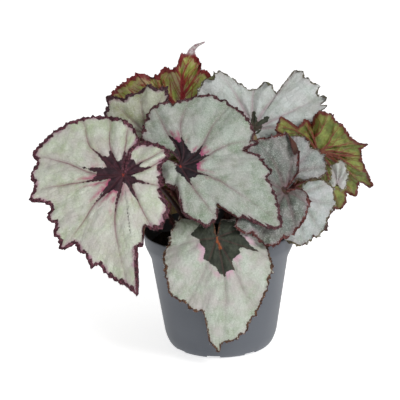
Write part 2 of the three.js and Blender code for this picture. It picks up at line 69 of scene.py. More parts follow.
def common_outline(length, mirrored=False):
    outline = [(-angle if mirrored else angle, share * length) for angle, share in COMMON_OUTLINE]
    return outline[::-1] if mirrored else outline


def common_star(length):
    """A star with an arm along each main vein of an ordinary blade."""
    body = COMMON_STAR_BODY * length
    star = [(COMMON_OUTLINE[0][0], body)]
    for vein in COMMON_VEINS:
        star.append((vein - COMMON_ARM_HALF_WIDTH, body))
        star.append((vein, COMMON_STAR_ARM * length))
        star.append((vein + COMMON_ARM_HALF_WIDTH, body))
    star.append((COMMON_OUTLINE[-1][0], body))
    return star


# joint: where the stalk meets the blade. face: the compass direction and the rise of the upper side.
# roll: the tip's turn from straight downhill. foot, reach: the stalk's foot, and how far below the joint it
# starts to lean. cup, fold, waves, lap, lap_rise, hook, tip_bend, back_bend: the form, as in blade_points.
# outline, star, veins: points as degrees from the tip and millimetres from the joint.
# curls: angle, half-width, depth and radius of a rolled stretch of margin, and 1 for up or -1 for down.
# rim: width of the coloured margin. thin_rim: where it is thinner. bulge: height of a dome in the blade.
# streak: a reddish line through the star. halo: middle and half-width of the angles with a bright halo.
# pale_tip: where the underside's tip starts and ends to pale.
LEAVES = [
    dict(
        name="a", joint=(-72.6, -46, 153.3), face=(-12, 28), roll=12, cup=-6, lap=(0.08, 0.08),
        lap_rise=3.2, waves=[(7, 20, 1.8, 2), (12, 80, 1, 3)], foot=(-24, -10), reach=26, rim=2.3,
        curls=[(13, 7, 6, 1.1, 1), (-203, 8, 4, 1.1, 1)], halo=(-60, 115),
        outline=[
            (-210, 27), (-203, 33), (-193, 41), (-179, 47), (-165, 53), (-147, 60), (-133, 67),
            (-122, 72), (-113, 77), (-110, 71), (-99, 74), (-94, 70), (-85, 76), (-81, 64), (-77, 61),
            (-73, 66), (-69, 68), (-65, 63), (-60, 70), (-56, 69), (-49, 74), (-44, 63), (-38, 68),
            (-34, 66), (-27, 75), (-24, 70), (-17, 77), (-7, 84), (-1, 93), (0, 80), (1, 68), (2, 65),
            (3, 56), (7, 58), (12, 47), (16, 42), (20, 48), (26, 50), (33, 48), (42, 44), (49, 39),
            (56, 31), (72, 29), (83, 27), (98, 29), (104, 37), (111, 38), (128, 34), (146, 28),
            (163, 19),
        ],
        star=[
            (-210, 9), (-205, 12), (-194, 20), (-184, 12), (-171, 11), (-164, 24), (-156, 19),
            (-146, 22), (-141, 34), (-138, 19), (-128, 14), (-117, 23), (-113, 36), (-109, 21),
            (-101, 21), (-95, 24), (-91, 35), (-88, 16), (-82, 10), (-66, 15), (-55, 31), (-50, 18),
            (-42, 14), (-28, 14), (-21, 30), (-16, 13), (-9, 6), (8, 7), (15, 12), (21, 25), (28, 12),
            (49, 12), (61, 22), (66, 11), (74, 7), (83, 9), (93, 16), (99, 22), (104, 15), (110, 14),
            (115, 19), (124, 12), (142, 14), (163, 11),
        ],
        veins=[
            [(-21, 30), (-12, 54), (-6, 82)], [(-55, 31), (-49, 46)], [(-93, 24), (-91, 39)],
            [(-104, 22), (-113, 40), (-113, 58)], [(-145, 20), (-139, 35), (-151, 52)],
            [(-164, 24), (-171, 42)], [(-194, 18), (-190, 32)], [(127, 10), (114, 21)],
            [(94, 16), (103, 27)], [(58, 12), (64, 29)], [(28, 12), (20, 26)],
        ],
    ),
    dict(
        name="b", joint=(-29.4, -34.4, 156), face=(6, 40), roll=54, cup=-4, lap=(0, 0.28),
        waves=[(6, 10, 2, 2), (11, 50, 1, 3)], foot=(-12, -10), reach=24, rim=1.7,
        curls=[(56, 7, 8, 1.1, 1), (-14, 6, 6, 1.1, 1), (127, 7, 5, 1.1, 1), (-66, 9, 4.5, 1.1, 1)],
        outline=[
            (-190, 12), (-174, 15), (-159, 16), (-145, 15), (-122, 16), (-104, 18), (-83, 17), (-66, 17),
            (-62, 23), (-58, 31), (-55, 39), (-46, 44), (-40, 49), (-36, 53), (-27, 51), (-21, 47),
            (-15, 42), (-12, 58), (-8, 63), (-6, 75), (-3, 87), (0, 91), (4, 86), (11, 79), (17, 74),
            (26, 67), (30, 71), (36, 65), (44, 62), (51, 52), (52.3, 65), (69, 67), (88, 69), (104, 67),
            (114, 61), (121, 58), (127, 52), (131, 55), (143, 56), (153, 49), (162, 43), (174, 37),
        ],
        star=[
            (-190, 3), (-120, 4), (-81, 6), (-50, 9), (-37, 12), (-30, 19), (-23, 13), (-9, 15), (5, 16),
            (13, 25), (17, 15), (27, 13), (44, 13), (56, 16), (63, 25), (69, 18), (79, 19), (87, 26),
            (91, 18), (100, 14), (112, 15), (123, 19), (130, 26), (135, 20), (142, 20), (149, 28),
            (154, 15), (162, 14), (174, 12),
        ],
        veins=[
            [(14, 25), (6, 46), (2, 76)], [(-30, 19), (-25, 38)], [(63, 25), (62, 42), (57, 53)],
            [(87, 26), (90, 40), (86, 60)], [(130, 26), (124, 38), (115, 54)], [(149, 28), (143, 42)],
        ],
    ),
    dict(
        name="c", joint=(-2.3, -57, 104.5), face=(0, 24), roll=0, cup=-6,
        waves=[(6, 60, 1.4, 2), (11, 20, 0.9, 3)], back_bend=(0, 28), tip_bend=(8, 120), foot=(0, -10),
        reach=24, rim=1.2, thin_rim=[(-150, -62), (84, 172)], streak=[(-9, 1.5), (18, 8.5)],
        curls=[(105, 9, 6, 1.2, 1), (-35, 6, 4, 1.0, 1)],
        outline=[
            (-172, 20), (-160, 26), (-145, 31), (-130, 35), (-116, 35), (-100, 35), (-85, 36), (-74, 43),
            (-62, 45), (-50, 50), (-42, 56), (-35, 57), (-28, 56), (-15, 61), (-12, 58), (-9, 64),
            (-7, 73), (-5, 84), (0, 95), (1, 86), (6, 84), (12, 80), (16, 78), (18, 72), (25, 68),
            (32, 61), (41, 56), (51, 50), (61, 48), (71, 41), (79, 39), (94, 36), (111, 33), (132, 31),
            (148, 28), (160, 25), (172, 20),
        ],
        star=[
            (-172, 18), (-118, 17), (-99, 20), (-86, 14), (-60, 13), (-45, 13), (-35, 19), (-22, 19),
            (-17, 20), (-4, 22), (3, 27), (10, 30), (15, 27), (20, 26), (28, 29), (29, 23), (36, 20),
            (48, 21), (57, 21), (61, 18), (67, 21), (71, 34), (76, 27), (88, 22), (97, 18), (125, 20),
            (172, 18),
        ],
        veins=[
            [(10, 30), (7, 48), (2, 80)], [(-21, 20), (-24, 44)], [(28, 29), (25, 42), (26, 60)],
            [(71, 34), (68, 42)], [(-85, 15), (-78, 38)], [(112, 18), (110, 32)],
        ],
    ),
    dict(
        name="d", joint=(-28.3, 44, 179.9), face=(172, 12), roll=191, cup=4, hook=(48, 0.05),
        waves=[(7, 0, 2.6, 2), (12, 40, 1.4, 3)], foot=(-10, 10), reach=17, rim=2.6, pale_tip=(48, 52),
        curls=[(-96, 6, 5, 1.4, -1), (46, 6, 4, 1.2, -1)],
        outline=[
            (-168, 12), (-150, 22), (-128, 32), (-111, 52), (-96, 59), (-88, 58), (-79, 53), (-63, 48),
            (-58, 46), (-55, 41), (-52, 36), (-43, 34), (-33, 37), (-20, 36), (-12, 40), (-9, 47),
            (-3, 50), (-2, 58), (0, 61), (2, 50), (6, 46), (13, 43), (15, 37), (18, 40), (26, 39),
            (32, 36), (49, 33), (80, 30), (115, 26), (150, 19), (168, 12),
        ],
        veins=[
            [(-4, 13), (-7, 30), (-4, 36), (1, 50)], [(-5, 22), (3, 35), (11, 40)],
            [(0, 13), (10, 27), (14, 36)], [(-8, 30), (-14, 37)], [(-50, 26), (-44, 33)],
            [(-43, 29), (-23, 34)], [(-62, 33), (-58, 41)], [(-66, 34), (-60, 43)],
            [(-82, 42), (-71, 48)], [(-92, 47), (-86, 54)], [(-110, 30), (-103, 52)],
            [(30, 14), (34, 32)], [(70, 12), (76, 28)], [(115, 10), (118, 24)], [(150, 8), (152, 17)],
        ],
    ),
    dict(
        name="e", joint=(-55, 2, 172.8), face=(-14, 30), roll=-130, cup=-3,
        waves=[(7, 70, 1.8, 2), (12, 10, 1, 3)], foot=(-20, 10), reach=22, rim=2.2,
        outline=[
            (-158, 8), (-138, 10), (-101, 13), (-83, 23), (-71, 34), (-65, 41), (-56, 37), (-44, 40),
            (-30, 36), (-20, 38), (-12, 35), (0, 47), (8, 40), (17, 40), (25, 34), (34, 34), (50, 26),
            (80, 20), (120, 16), (150, 10),
        ],
        veins=[
            [(-110, 8), (-105, 12)], [(-62, 20), (-66, 38)], [(-32, 18), (-32, 34)], [(2, 20), (0, 42)],
            [(26, 16), (30, 32)], [(80, 10), (80, 19)],
        ],
    ),
    dict(
        name="f", joint=(29.5, 21, 170.2), face=(8, 38), roll=150, fold=0.12,
        waves=[(7, 30, 2.4, 2), (12, 0, 1.3, 3)], foot=(4, 10), reach=20, rim=0.6,
        curls=[(8, 8, 8, 1.2, 1), (67, 9, 8, 1.2, 1), (-41, 4, 6, 1.1, 1), (-11, 4, 4, 1, 1)],
        outline=[
            (-164, 14), (-135, 16), (-107, 18), (-93, 19), (-80, 23), (-70, 29), (-62, 36), (-58, 47),
            (-52, 51), (-49, 60), (-45, 56), (-41, 64), (-38, 59), (-34, 59), (-30, 65), (-24, 62),
            (-17, 62), (-14, 66), (-9, 63), (-8, 63), (-7, 48), (-6, 37), (3, 38), (7, 40), (13, 38),
            (21, 34), (34, 34), (43, 40), (50, 49), (56, 54), (64, 52), (77, 54), (92, 50), (112, 42),
            (135, 34), (162, 26), (188, 12),
        ],
        star=[
            (-164, 5), (-60, 6), (-42, 7), (-34, 13), (-27, 16), (-19, 15), (-12, 9), (0, 7), (12, 9),
            (20, 14), (29, 16), (37, 10), (50, 6), (80, 5), (188, 5),
        ],
        veins=[
            [(1, 12), (-4, 23), (-7, 30), (-9, 58)], [(-40, 20), (-38, 56)], [(-62, 14), (-62, 34)],
            [(30, 12), (24, 33)], [(52, 30), (56, 52)], [(92, 20), (92, 48)], [(140, 14), (140, 32)],
        ],
    ),
    dict(
        name="g", joint=(51.6, -27, 132.4), face=(16, 36), roll=-60, cup=2,
        waves=[(6, 0, 1.8, 2), (11, 70, 1, 3)], foot=(12, -10), reach=22, rim=1.3, bulge=2,
        curls=[(-141, 13, 19, 1.7, 1), (-163, 7, 10, 1.2, 1), (134, 14, 6, 1.2, 1), (-112, 7, 5, 1.1, 1)],
        outline=[
            (-166, 15), (-157, 22), (-149, 33), (-141, 41), (-134, 45), (-125, 46), (-117, 44),
            (-109, 43), (-102, 46), (-93, 46), (-79, 43), (-62, 35), (-51, 32), (-28, 38), (-15, 47),
            (-7, 46), (0, 54), (9, 52), (14, 47), (20, 48), (28, 50), (33, 50), (40, 46), (45, 39),
            (51, 38), (69, 31), (84, 26), (98, 22), (116, 21), (134, 13), (152, 8),
        ],
        # the small dark olive star round the joint is partly the leaf's own spot and partly painted shade of
        # the funnel there
        star=[(-166, 3), (-60, 4), (0, 3), (60, 4), (152, 3)],
        veins=[
            [(-10, 20), (-12, 46)], [(-60, 14), (-54, 32)], [(-110, 16), (-100, 42)],
            [(-145, 14), (-140, 40)], [(20, 20), (24, 48)], [(62, 14), (62, 32)], [(112, 10), (112, 20)],
        ],
    ),
    dict(
        name="h1", joint=(53.2, -8, 142.1), face=(18, 26), roll=78, cup=-3,
        waves=[(6, 40, 1.6, 2), (11, 0, 1, 3)], foot=(14, 10), reach=15, rim=0.6,
        curls=[(24, 9, 5, 1.4, 1), (60, 9, 5, 1.4, 1)],
        outline=[
            (-160, 7), (-106, 7), (-59, 7), (-24, 10), (-9, 20), (-1, 29), (6, 33), (13, 34), (26, 35),
            (39, 34), (47, 30), (59, 32), (72, 32), (84, 29), (100, 22), (120, 18), (140, 15), (160, 10),
        ],
        veins=[
            [(-30, 6), (-26, 9)], [(12, 14), (16, 33)], [(40, 12), (44, 31)], [(72, 12), (76, 30)],
            [(110, 8), (112, 19)],
        ],
    ),
    dict(
        name="h2", joint=(59.6, -18, 125.6), face=(24, 24), roll=-4, cup=-4,
        waves=[(6, 90, 1.6, 2), (11, 30, 1, 3)], foot=(22, -9), reach=11, rim=0.7,
        curls=[(20, 7, 5, 1.3, 1), (-32, 7, 5, 1.3, 1)],
        outline=[
            (-150, 8), (-120, 8), (-90, 9), (-62, 15), (-46, 26), (-32, 34), (-21, 33), (-14, 36),
            (-2, 39), (8, 38), (19, 35), (29, 37), (51, 33), (62, 32), (76, 36), (95, 36), (106, 32),
            (118, 25), (135, 12),
        ],
        veins=[
            [(-60, 8), (-52, 20)], [(-24, 14), (-24, 32)], [(6, 16), (5, 37)], [(34, 14), (36, 35)],
            [(72, 14), (76, 34)], [(104, 12), (106, 30)],
        ],
    ),
    dict(
        name="i", joint=(80.4, 23.5, 150.3), face=(186, 20), roll=-106, cup=3,
        waves=[(7, 10, 2.4, 2), (12, 60, 1.2, 3)], back_bend=(3, 28), foot=(23, 12), reach=12, rim=1.5,
        curls=[(57, 3.5, 7, 1.6, -1), (72, 3, 6, 1.4, -1), (26, 5, 4, 1.2, -1), (-120, 4, 4, 1.2, -1)],
        outline=[
            (-164, 12), (-148, 16), (-138, 24), (-131, 38), (-127, 48), (-120, 50), (-115, 49),
            (-113, 40), (-111, 28), (-103, 28), (-97, 29), (-92, 26), (-88, 20), (-84, 24), (-79, 32),
            (-75, 36), (-60, 35), (-47, 28), (-26, 28), (-10, 27), (5, 28), (11, 32), (14, 41), (21, 35),
            (35, 38), (44, 45), (57, 62), (61, 52), (70, 60), (75, 50), (80, 60), (87, 63), (92, 57),
            (95, 42), (102, 25), (130, 14),
        ],
        veins=[
            [(-5, 8), (6, 20), (11, 31)], [(-100, 10), (-71, 17), (-65, 30)],
            [(-20, 9), (-35, 15), (-34, 26)], [(20, 10), (29, 35)], [(40, 14), (46, 36)],
            [(50, 12), (60, 48)], [(70, 20), (72, 50)], [(85, 20), (86, 56)], [(-112, 20), (-122, 42)],
            [(-92, 14), (-98, 26)], [(34, 16), (30, 26)],
        ],
    ),
    dict(
        name="k", joint=(95, 16, 125), face=(22, 22), roll=160, cup=1, waves=[(6, 20, 0.8, 2)],
        foot=(29, 2), reach=9, rim=0.5,
        outline=[
            (-150, 6), (-104, 7), (-60, 8), (-38, 12), (-24, 14), (-10, 17), (0, 20), (14, 16), (28, 15),
            (38, 12), (52, 7), (105, 6), (150, 6),
        ],
        veins=[[(-30, 6), (-28, 12)], [(0, 10), (0, 18)], [(28, 6), (28, 13)]],
    ),
    dict(
        name="l", joint=(62, 58, 112), face=(175, 24), roll=-30, cup=-3,
        waves=[(7, 50, 1.6, 2), (12, 0, 0.8, 3)], outline=common_outline(54, mirrored=True),
        star=common_star(54), foot=(12, 19), reach=17,
    ),
    dict(
        name="m", joint=(-15, 68, 140), face=(184, 38), roll=8, cup=-5,
        waves=[(7, 10, 2, 2), (12, 30, 1, 3)], outline=common_outline(62), star=common_star(62),
        foot=(-8, 20), reach=20,
    ),
    dict(
        name="n", joint=(-65, 33, 141), face=(-122, 34), roll=-14, cup=-5,
        waves=[(7, 80, 2, 2), (12, 60, 1, 3)], outline=common_outline(62, mirrored=True),
        star=common_star(62), foot=(-20, 18), reach=20,
    ),
    dict(
        name="o", joint=(30, 41, 141), face=(166, 50), roll=10, cup=-2,
        waves=[(7, 0, 1.4, 2), (12, 50, 0.8, 3)], outline=common_outline(32, mirrored=True),
        star=common_star(32), foot=(5, 20), reach=14,
    ),
    dict(
        name="p", joint=(9, 72, 101), face=(188, 8), roll=-8, cup=-3,
        waves=[(6, 30, 1.6, 2), (11, 80, 1, 3)], back_bend=(0, 24), outline=common_outline(56),
        star=common_star(56), foot=(-2, 20), reach=20,
    ),
    dict(
        name="q", joint=(-37, 62, 110), face=(-172, 10), roll=8, cup=-2,
        waves=[(7, 30, 1.6, 2), (12, 10, 0.8, 3)], back_bend=(0, 30),
        outline=common_outline(41, mirrored=True), star=common_star(41), foot=(-14, 19), reach=18,
    ),
]

# ---------------------------------------------------------------- mesh helpers


def make_object(name, points, face_sets, materials, material_index=None, attributes=None):
    """A mesh object from points in millimetres and arrays of faces with equal corner counts."""
    mesh = bpy.data.meshes.new(name)
    mesh.vertices.add(len(points))
    mesh.vertices.foreach_set("co", (np.asarray(points) * MM).astype(np.float32).ravel())
    corners = np.concatenate([faces.ravel() for faces in face_sets]).astype(np.int32)
    sizes = np.concatenate([np.full(len(faces), faces.shape[1]) for faces in face_sets])
    mesh.loops.add(len(corners))
    mesh.loops.foreach_set("vertex_index", corners)
    mesh.polygons.add(len(sizes))
    starts = np.concatenate([[0], np.cumsum(sizes)[:-1]]).astype(np.int32)
    mesh.polygons.foreach_set("loop_start", starts)
    for material in materials:
        mesh.materials.append(material)
    if material_index is not None:
        mesh.polygons.foreach_set("material_index", material_index.astype(np.int32))
    mesh.update(calc_edges=True)
    mesh.polygons.foreach_set("use_smooth", np.ones(len(sizes), bool))
    for key, values in (attributes or {}).items():
        layer = mesh.attributes.new(key, "FLOAT", "POINT")
        layer.data.foreach_set("value", values.astype(np.float32))
    piece = bpy.data.objects.new(name, mesh)
    bpy.context.scene.collection.objects.link(piece)
    return piece


def add_piece(piece, slot, *nodes):
    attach(piece, "root")
    if nodes:
        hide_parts(*nodes)


def unit(vectors):
    return vectors / np.maximum(np.linalg.norm(vectors, axis=-1, keepdims=True), 1e-9)


def smoothstep(value, low, high):
    share = np.clip((value - low) / (high - low), 0, 1)
    return share * share * (3 - 2 * share)


def ring_quads(rings, sides):
    """Quads between rings of points that follow each other in one list."""
    ring, side = np.meshgrid(np.arange(rings - 1), np.arange(sides), indexing="ij")
    here = (ring * sides + side).ravel()
    after = (ring * sides + (side + 1) % sides).ravel()
    return np.stack([here, after, after + sides, here + sides], axis=1)


def closed_rings(points, sides, first_middle, last_middle):
    """A closed surface of rings of points, with a fan round a middle point at each end."""
    here = np.arange(sides)
    after = (here + 1) % sides
    last = len(points) - sides
    first_fan = np.stack([np.full(sides, len(points)), after, here], axis=1)
    last_fan = np.stack([np.full(sides, len(points) + 1), last + here, last + after], axis=1)
    points = np.concatenate([points, [first_middle, last_middle]])
    return points, [ring_quads(last // sides + 1, sides), first_fan, last_fan]


def hair_mesh(roots, directions, lengths, radius):
    """Thin three-sided cones, closed at the root."""
    directions = unit(directions)
    helper = np.where(np.abs(directions[:, 2:]) < 0.8, [[0.0, 0, 1]], [[1.0, 0, 0]])
    side = unit(np.cross(directions, helper))
    other = np.cross(directions, side)
    points = []
    for turn in (0, 120, 240):
        points.append(roots + radius * (side * math.cos(turn * DEGREE) + other * math.sin(turn * DEGREE)))
    points.append(roots + directions * lengths[:, None])
    points = np.stack(points, axis=1).reshape(-1, 3)
    corners = np.array([(0, 1, 3), (1, 2, 3), (2, 0, 3), (0, 2, 1)])
    faces = (np.arange(len(roots))[:, None, None] * 4 + corners).reshape(-1, 3)
    return points, faces


# ---------------------------------------------------------------- the blade's form

BLADE_THICKNESS = 0.55
THIN_EDGE = 0.45            # share of the thickness that is lost at the margin
THIN_EDGE_POWER = 20
LAP_START = 110             # degrees from the tip where the two back lobes start to pass over each other
LAP_SPAN = 70
CALM_SPREAD = 5             # degrees over which the outline is smoothed for the height of the inner blade
CALM_REACH = 15
CALM_END = 0.6              # share of the way to the margin up to which only the smoothed outline counts


def leaf_axes(leaf):
    """The blade's own axes: out of its upper side, towards its tip, and across."""
    compass, rise = (angle * DEGREE for angle in leaf["face"])
    up = np.array([math.sin(compass) * math.cos(rise), -math.cos(compass) * math.cos(rise), math.sin(rise)])
    downhill = unit(np.array([0, 0, -1]) + up * up[2])
    level = np.cross(up, downhill)
    turn = leaf["roll"] * DEGREE
    tip = downhill * math.cos(turn) + level * math.sin(turn)
    return up, tip, np.cross(up, tip)


def bend(rule, along, height):
    """Rolls what lies past a start round a cylinder."""
    if not rule:
        return along, height
    start, radius = rule
    turn = np.maximum(along - start, 0) / radius
    bent = along > start
    rolled = start + (radius + height) * np.sin(turn)
    risen = (radius + height) * np.cos(turn) - radius
    return np.where(bent, rolled, along), np.where(bent, risen, height)


def calm_share(leaf, angle, out, share):
    """The share of the way to the margin, smoothed across notches so that they make no crease inside."""
    corner, distance = np.array(leaf["outline"], float).T
    sample = np.arange(corner[0], corner[-1] + 1)
    kernel = np.exp(-0.5 * (np.arange(-CALM_REACH, CALM_REACH + 1) / CALM_SPREAD) ** 2)
    padded = np.pad(np.interp(sample, corner, distance), CALM_REACH, mode="edge")
    smooth = np.convolve(padded, kernel / kernel.sum(), "valid")
    calm = out / np.interp(angle, sample, smooth)
    return calm + (share - calm) * smoothstep(share, CALM_END, 1)


def blade_points(leaf, angle, out, share, relief):
    """The blade's middle surface, as the solid has it, with a relief in millimetres added along its axis."""
    share = calm_share(leaf, angle, out, share)
    up, tip, side = leaf_axes(leaf)
    height = leaf.get("cup", 0) * share**2
    lap_share = smoothstep(np.abs(angle), LAP_START, LAP_START + LAP_SPAN)
    height = height + leaf.get("lap_rise", 0) * np.sign(angle) * lap_share * share
    for count, phase, rise, power in leaf["waves"]:
        height = height + rise * share**power * np.sin((count * angle + phase) * DEGREE)
    lower_lap, upper_lap = leaf.get("lap", (0, 0))
    lap = np.where(angle < 0, lower_lap, upper_lap)
    turned = angle * (1 - lap * (1 - share) ** 2) * DEGREE
    along = out * np.cos(turned)
    across = out * np.sin(turned)
    height = height + leaf.get("fold", 0) * np.abs(across) + relief
    hook_start, hook_rate = leaf.get("hook", (0, 0))
    across = across + hook_rate * np.maximum(along - hook_start, 0) ** 2
    along, height = bend(leaf.get("tip_bend"), along, height)
    back, height = bend(leaf.get("back_bend"), -along, height)
    spot = -back[..., None] * tip + across[..., None] * side + height[..., None] * up
    return np.array(leaf["joint"]) + spot


# ---------------------------------------------------------------- margins, veins and stars

OUTLINE_SAMPLES = 12        # on each stretch of an outline, before it is walked at even steps
MARGIN_SMOOTHING = 0.8      # millimetres along the margin over which an outline's corners are rounded
KERNEL_REACH = 6            # steps
# spacing along the margin and height of the large and the small teeth
TEETH = [(4.8, 2.3), (2.4, 1.2)]
TOOTH_WIDTHS = (0.6, 1.4)   # shares of the spacing
TOOTH_HEIGHTS = (0.25, 1)   # shares of the height
TOOTH_LEAN = 0.35           # share of a tooth's width before its point
TOOTH_SHARPNESS = 1.2
FAR = 1e3
BEHIND = 100                # degrees from a vein or a stretch of margin past which it isn't near
MARGIN_STRIDE = 3           # steps of the margin in each stretch that distances are measured to
BACK_EDGE = (0.15, 0.95, 6)  # shares of the way, and points, along each edge from the joint to the margin
VEIN_END = 0.97             # share of the way to the margin
VEIN_POINTS = 14
VEIN_HALF_WIDTH = 0.7       # at the joint, and its growth with the vein's length
VEIN_GROWTH = 0.003
VEIN_TIP_HALF_WIDTH = 0.14
SIDE_VEIN_SPACING = 12
SIDE_VEIN_STARTS = (0.9, 1.5)   # spacings
SIDE_VEIN_SPREADS = (34, 48)    # degrees from the main vein
SIDE_VEIN_RUNS = (0.5, 0.8)     # shares of the main vein's rest
SIDE_VEIN_LEAST = 4
SIDE_VEIN_POINTS = 5
SIDE_VEIN_BEND = 0.25
SIDE_VEIN_HALF_WIDTHS = (0.32, 0.06)
LUMP_WAVES = 9
LUMP_WAVELENGTHS = (0.75, 1.35)
# of small curls
FIRST_CURL = (4, 12)
CURL_GAPS = (8, 16)
CURL_HALF_WIDTHS = (2.0, 4.5)
CURL_DEPTHS = (1.6, 3.4)
CURL_RADII = (0.7, 1.1)
FULL_CURL_REACH = 30        # distance from the joint from which a curl has its full depth
ROLLED_UP = 0.7             # share of the small curls that show the underside


def fine_margin(leaf, steps):
    """The outline, walked at even steps: angle, reach and the way out of the margin at each."""
    corner, distance = np.array(leaf["outline"], float).T
    samples = np.linspace(0, len(corner) - 1, (len(corner) - 1) * OUTLINE_SAMPLES + 1)
    angle = np.interp(samples, np.arange(len(corner)), corner)
    reach = np.interp(samples, np.arange(len(corner)), distance)
    stride = np.hypot(np.diff(reach), np.diff(angle) * DEGREE * (reach[1:] + reach[:-1]) / 2)
    walked = np.concatenate([[0], np.cumsum(stride)])
    even = np.linspace(0, walked[-1], steps + 1)
    kernel = np.exp(-0.5 * (np.arange(-KERNEL_REACH, KERNEL_REACH + 1) * even[1] / MARGIN_SMOOTHING) ** 2)
    kernel /= kernel.sum()
    rounded = []
    for values in (angle, reach):
        padded = np.pad(np.interp(even, walked, values), KERNEL_REACH, mode="edge")
        rounded.append(np.convolve(padded, kernel, "valid"))
    angle, reach = rounded
    slope_out = np.gradient(reach, even)
    slope_round = np.gradient(angle * DEGREE, even) * reach
    length = np.hypot(slope_out, slope_round)
    return even, angle, reach, slope_round / length, -slope_out / length


def teeth(even, rng):
    """Small uneven teeth along the margin, in millimetres outward."""
    height = np.zeros_like(even)
    for spacing, rise in TEETH:
        centre = 0.0
        while centre < even[-1]:
            width = spacing * rng.uniform(*TOOTH_WIDTHS)
            lean = (even - centre) / width
            shape = np.where(lean < 0, 1 + lean / TOOTH_LEAN, 1 - lean / (1 - TOOTH_LEAN))
            shape = np.clip(shape, 0, 1) ** TOOTH_SHARPNESS
            height = np.maximum(height, rise * rng.uniform(*TOOTH_HEIGHTS) * shape)
            centre += width
    return height


def path_field(angle, out, path, widths):
    """Half-width minus distance to a path of (degrees, millimetres), positive inside the vein."""
    base = path[-1, 0]
    x = out * np.cos((angle - base) * DEGREE)
    y = out * np.sin((angle - base) * DEGREE)
    px = path[:, 1] * np.cos((path[:, 0] - base) * DEGREE)
    py = path[:, 1] * np.sin((path[:, 0] - base) * DEGREE)
    best = np.full(x.shape, -FAR)
    for k in range(len(path) - 1):
        dx, dy = px[k + 1] - px[k], py[k + 1] - py[k]
        share = np.clip(((x - px[k]) * dx + (y - py[k]) * dy) / max(dx * dx + dy * dy, 1e-9), 0, 1)
        gap = np.hypot(x - px[k] - share * dx, y - py[k] - share * dy)
        best = np.maximum(best, widths[k] + share * (widths[k + 1] - widths[k]) - gap)
    behind = np.abs(angle - base) > BEHIND
    return np.where(behind, np.maximum(best, widths[0] - out), best)


def outline_gap(angle, out, corner, reach):
    """Distance to an open outline round the joint, in the blade's own plane."""
    gap = np.full(out.shape, FAR)
    for k in range(len(corner) - 1):
        middle = (corner[k] + corner[k + 1]) / 2
        near = np.abs(angle - middle) < BEHIND
        x = out[near] * np.cos((angle[near] - middle) * DEGREE)
        y = out[near] * np.sin((angle[near] - middle) * DEGREE)
        ax, bx = (reach[j] * math.cos((corner[j] - middle) * DEGREE) for j in (k, k + 1))
        ay, by = (reach[j] * math.sin((corner[j] - middle) * DEGREE) for j in (k, k + 1))
        length = max((bx - ax) ** 2 + (by - ay) ** 2, 1e-9)
        share = np.clip(((x - ax) * (bx - ax) + (y - ay) * (by - ay)) / length, 0, 1)
        gap[near] = np.minimum(gap[near], np.hypot(x - ax - share * (bx - ax), y - ay - share * (by - ay)))
    return gap


def star_field(angle, out, outline):
    """Distance inside the star's outline, negative outside it."""
    corner, reach = np.array(outline, float).T
    gap = outline_gap(angle, out, corner, reach)
    return np.where(out < np.interp(angle, corner, reach), gap, -gap)


def margin_distance(angle, out, margin_angle, margin_reach):
    """Distance to the nearest stretch of the margin, the two edges from it to the joint included."""
    ramp = np.linspace(*BACK_EDGE)
    first, last = (np.full(len(ramp), margin_angle[end]) for end in (0, -1))
    corner = np.concatenate([first, margin_angle[::MARGIN_STRIDE], last])
    middle = margin_reach[::MARGIN_STRIDE]
    reach = np.concatenate([ramp * margin_reach[0], middle, ramp[::-1] * margin_reach[-1]])
    return outline_gap(angle, out, corner, reach)


def vein_paths(leaf, rng):
    """Main veins from the joint to the margin, and the side veins that leave them, with half-widths."""
    corner, distance = np.array(leaf["outline"], float).T
    common = [[(angle, np.interp(angle, corner, distance) / 2)] for angle in COMMON_VEINS]
    mains, sides = [], []
    for route in leaf.get("veins", common):
        last_angle = route[-1][0]
        length = float(np.interp(last_angle, corner, distance)) * VEIN_END
        points = [(route[0][0], 0), *[spot for spot in route if spot[1] < length], (last_angle, length)]
        angles, reaches = np.array(points, float).T
        reach = np.linspace(0, length, VEIN_POINTS)
        angle = np.interp(reach, reaches, angles)
        for _ in range(2):
            angle[1:-1] = (angle[:-2] + 2 * angle[1:-1] + angle[2:]) / 4
        ends = [VEIN_HALF_WIDTH + VEIN_GROWTH * length, VEIN_TIP_HALF_WIDTH]
        mains.append((np.stack([angle, reach], axis=1), np.interp(reach, [0, length], ends)))
        for k in range(int(length / SIDE_VEIN_SPACING)):
            for way in (-1, 1):
                at = (k + rng.uniform(*SIDE_VEIN_STARTS)) * SIDE_VEIN_SPACING
                spread = rng.uniform(*SIDE_VEIN_SPREADS) * DEGREE
                run = (length - at) * rng.uniform(*SIDE_VEIN_RUNS)
                if run < SIDE_VEIN_LEAST:
                    continue
                steps = np.linspace(0, 1, SIDE_VEIN_POINTS)
                lean = spread * (1 - SIDE_VEIN_BEND * steps)
                x = at + run * steps * np.cos(lean)
                y = way * run * steps * np.sin(lean)
                bent = np.interp(at, reach, angle)
                path = np.stack([bent + np.arctan2(y, x) / DEGREE, np.hypot(x, y)], axis=1)
                sides.append((path, np.interp(steps, [0, 1], SIDE_VEIN_HALF_WIDTHS)))
    return mains, sides


def pleats(angle, out, mains):
    """0 on the main veins and 1 half-way between them."""
    lines = [np.interp(out, path[:, 1], path[:, 0]) for path, _ in mains]
    lines.sort(key=lambda line: line[-1].mean())
    pleat = np.zeros(out.shape)
    for low, high in zip(lines[:-1], lines[1:]):
        phase = (angle - low) / np.maximum(high - low, 1)
        pleat = np.where((phase > 0) & (phase < 1), np.sin(math.pi * phase) ** 2, pleat)
    return pleat


def lumps(x, y, wavelength, rng):
    """A seeded mix of waves in all directions, mostly between -1 and 1."""
    total = np.zeros(x.shape)
    for _ in range(LUMP_WAVES):
        way = rng.uniform(0, FULL_TURN)
        pace = FULL_TURN / (wavelength * rng.uniform(*LUMP_WAVELENGTHS))
        total += np.sin(pace * (x * math.cos(way) + y * math.sin(way)) + rng.uniform(0, FULL_TURN))
    return total / math.sqrt(LUMP_WAVES)


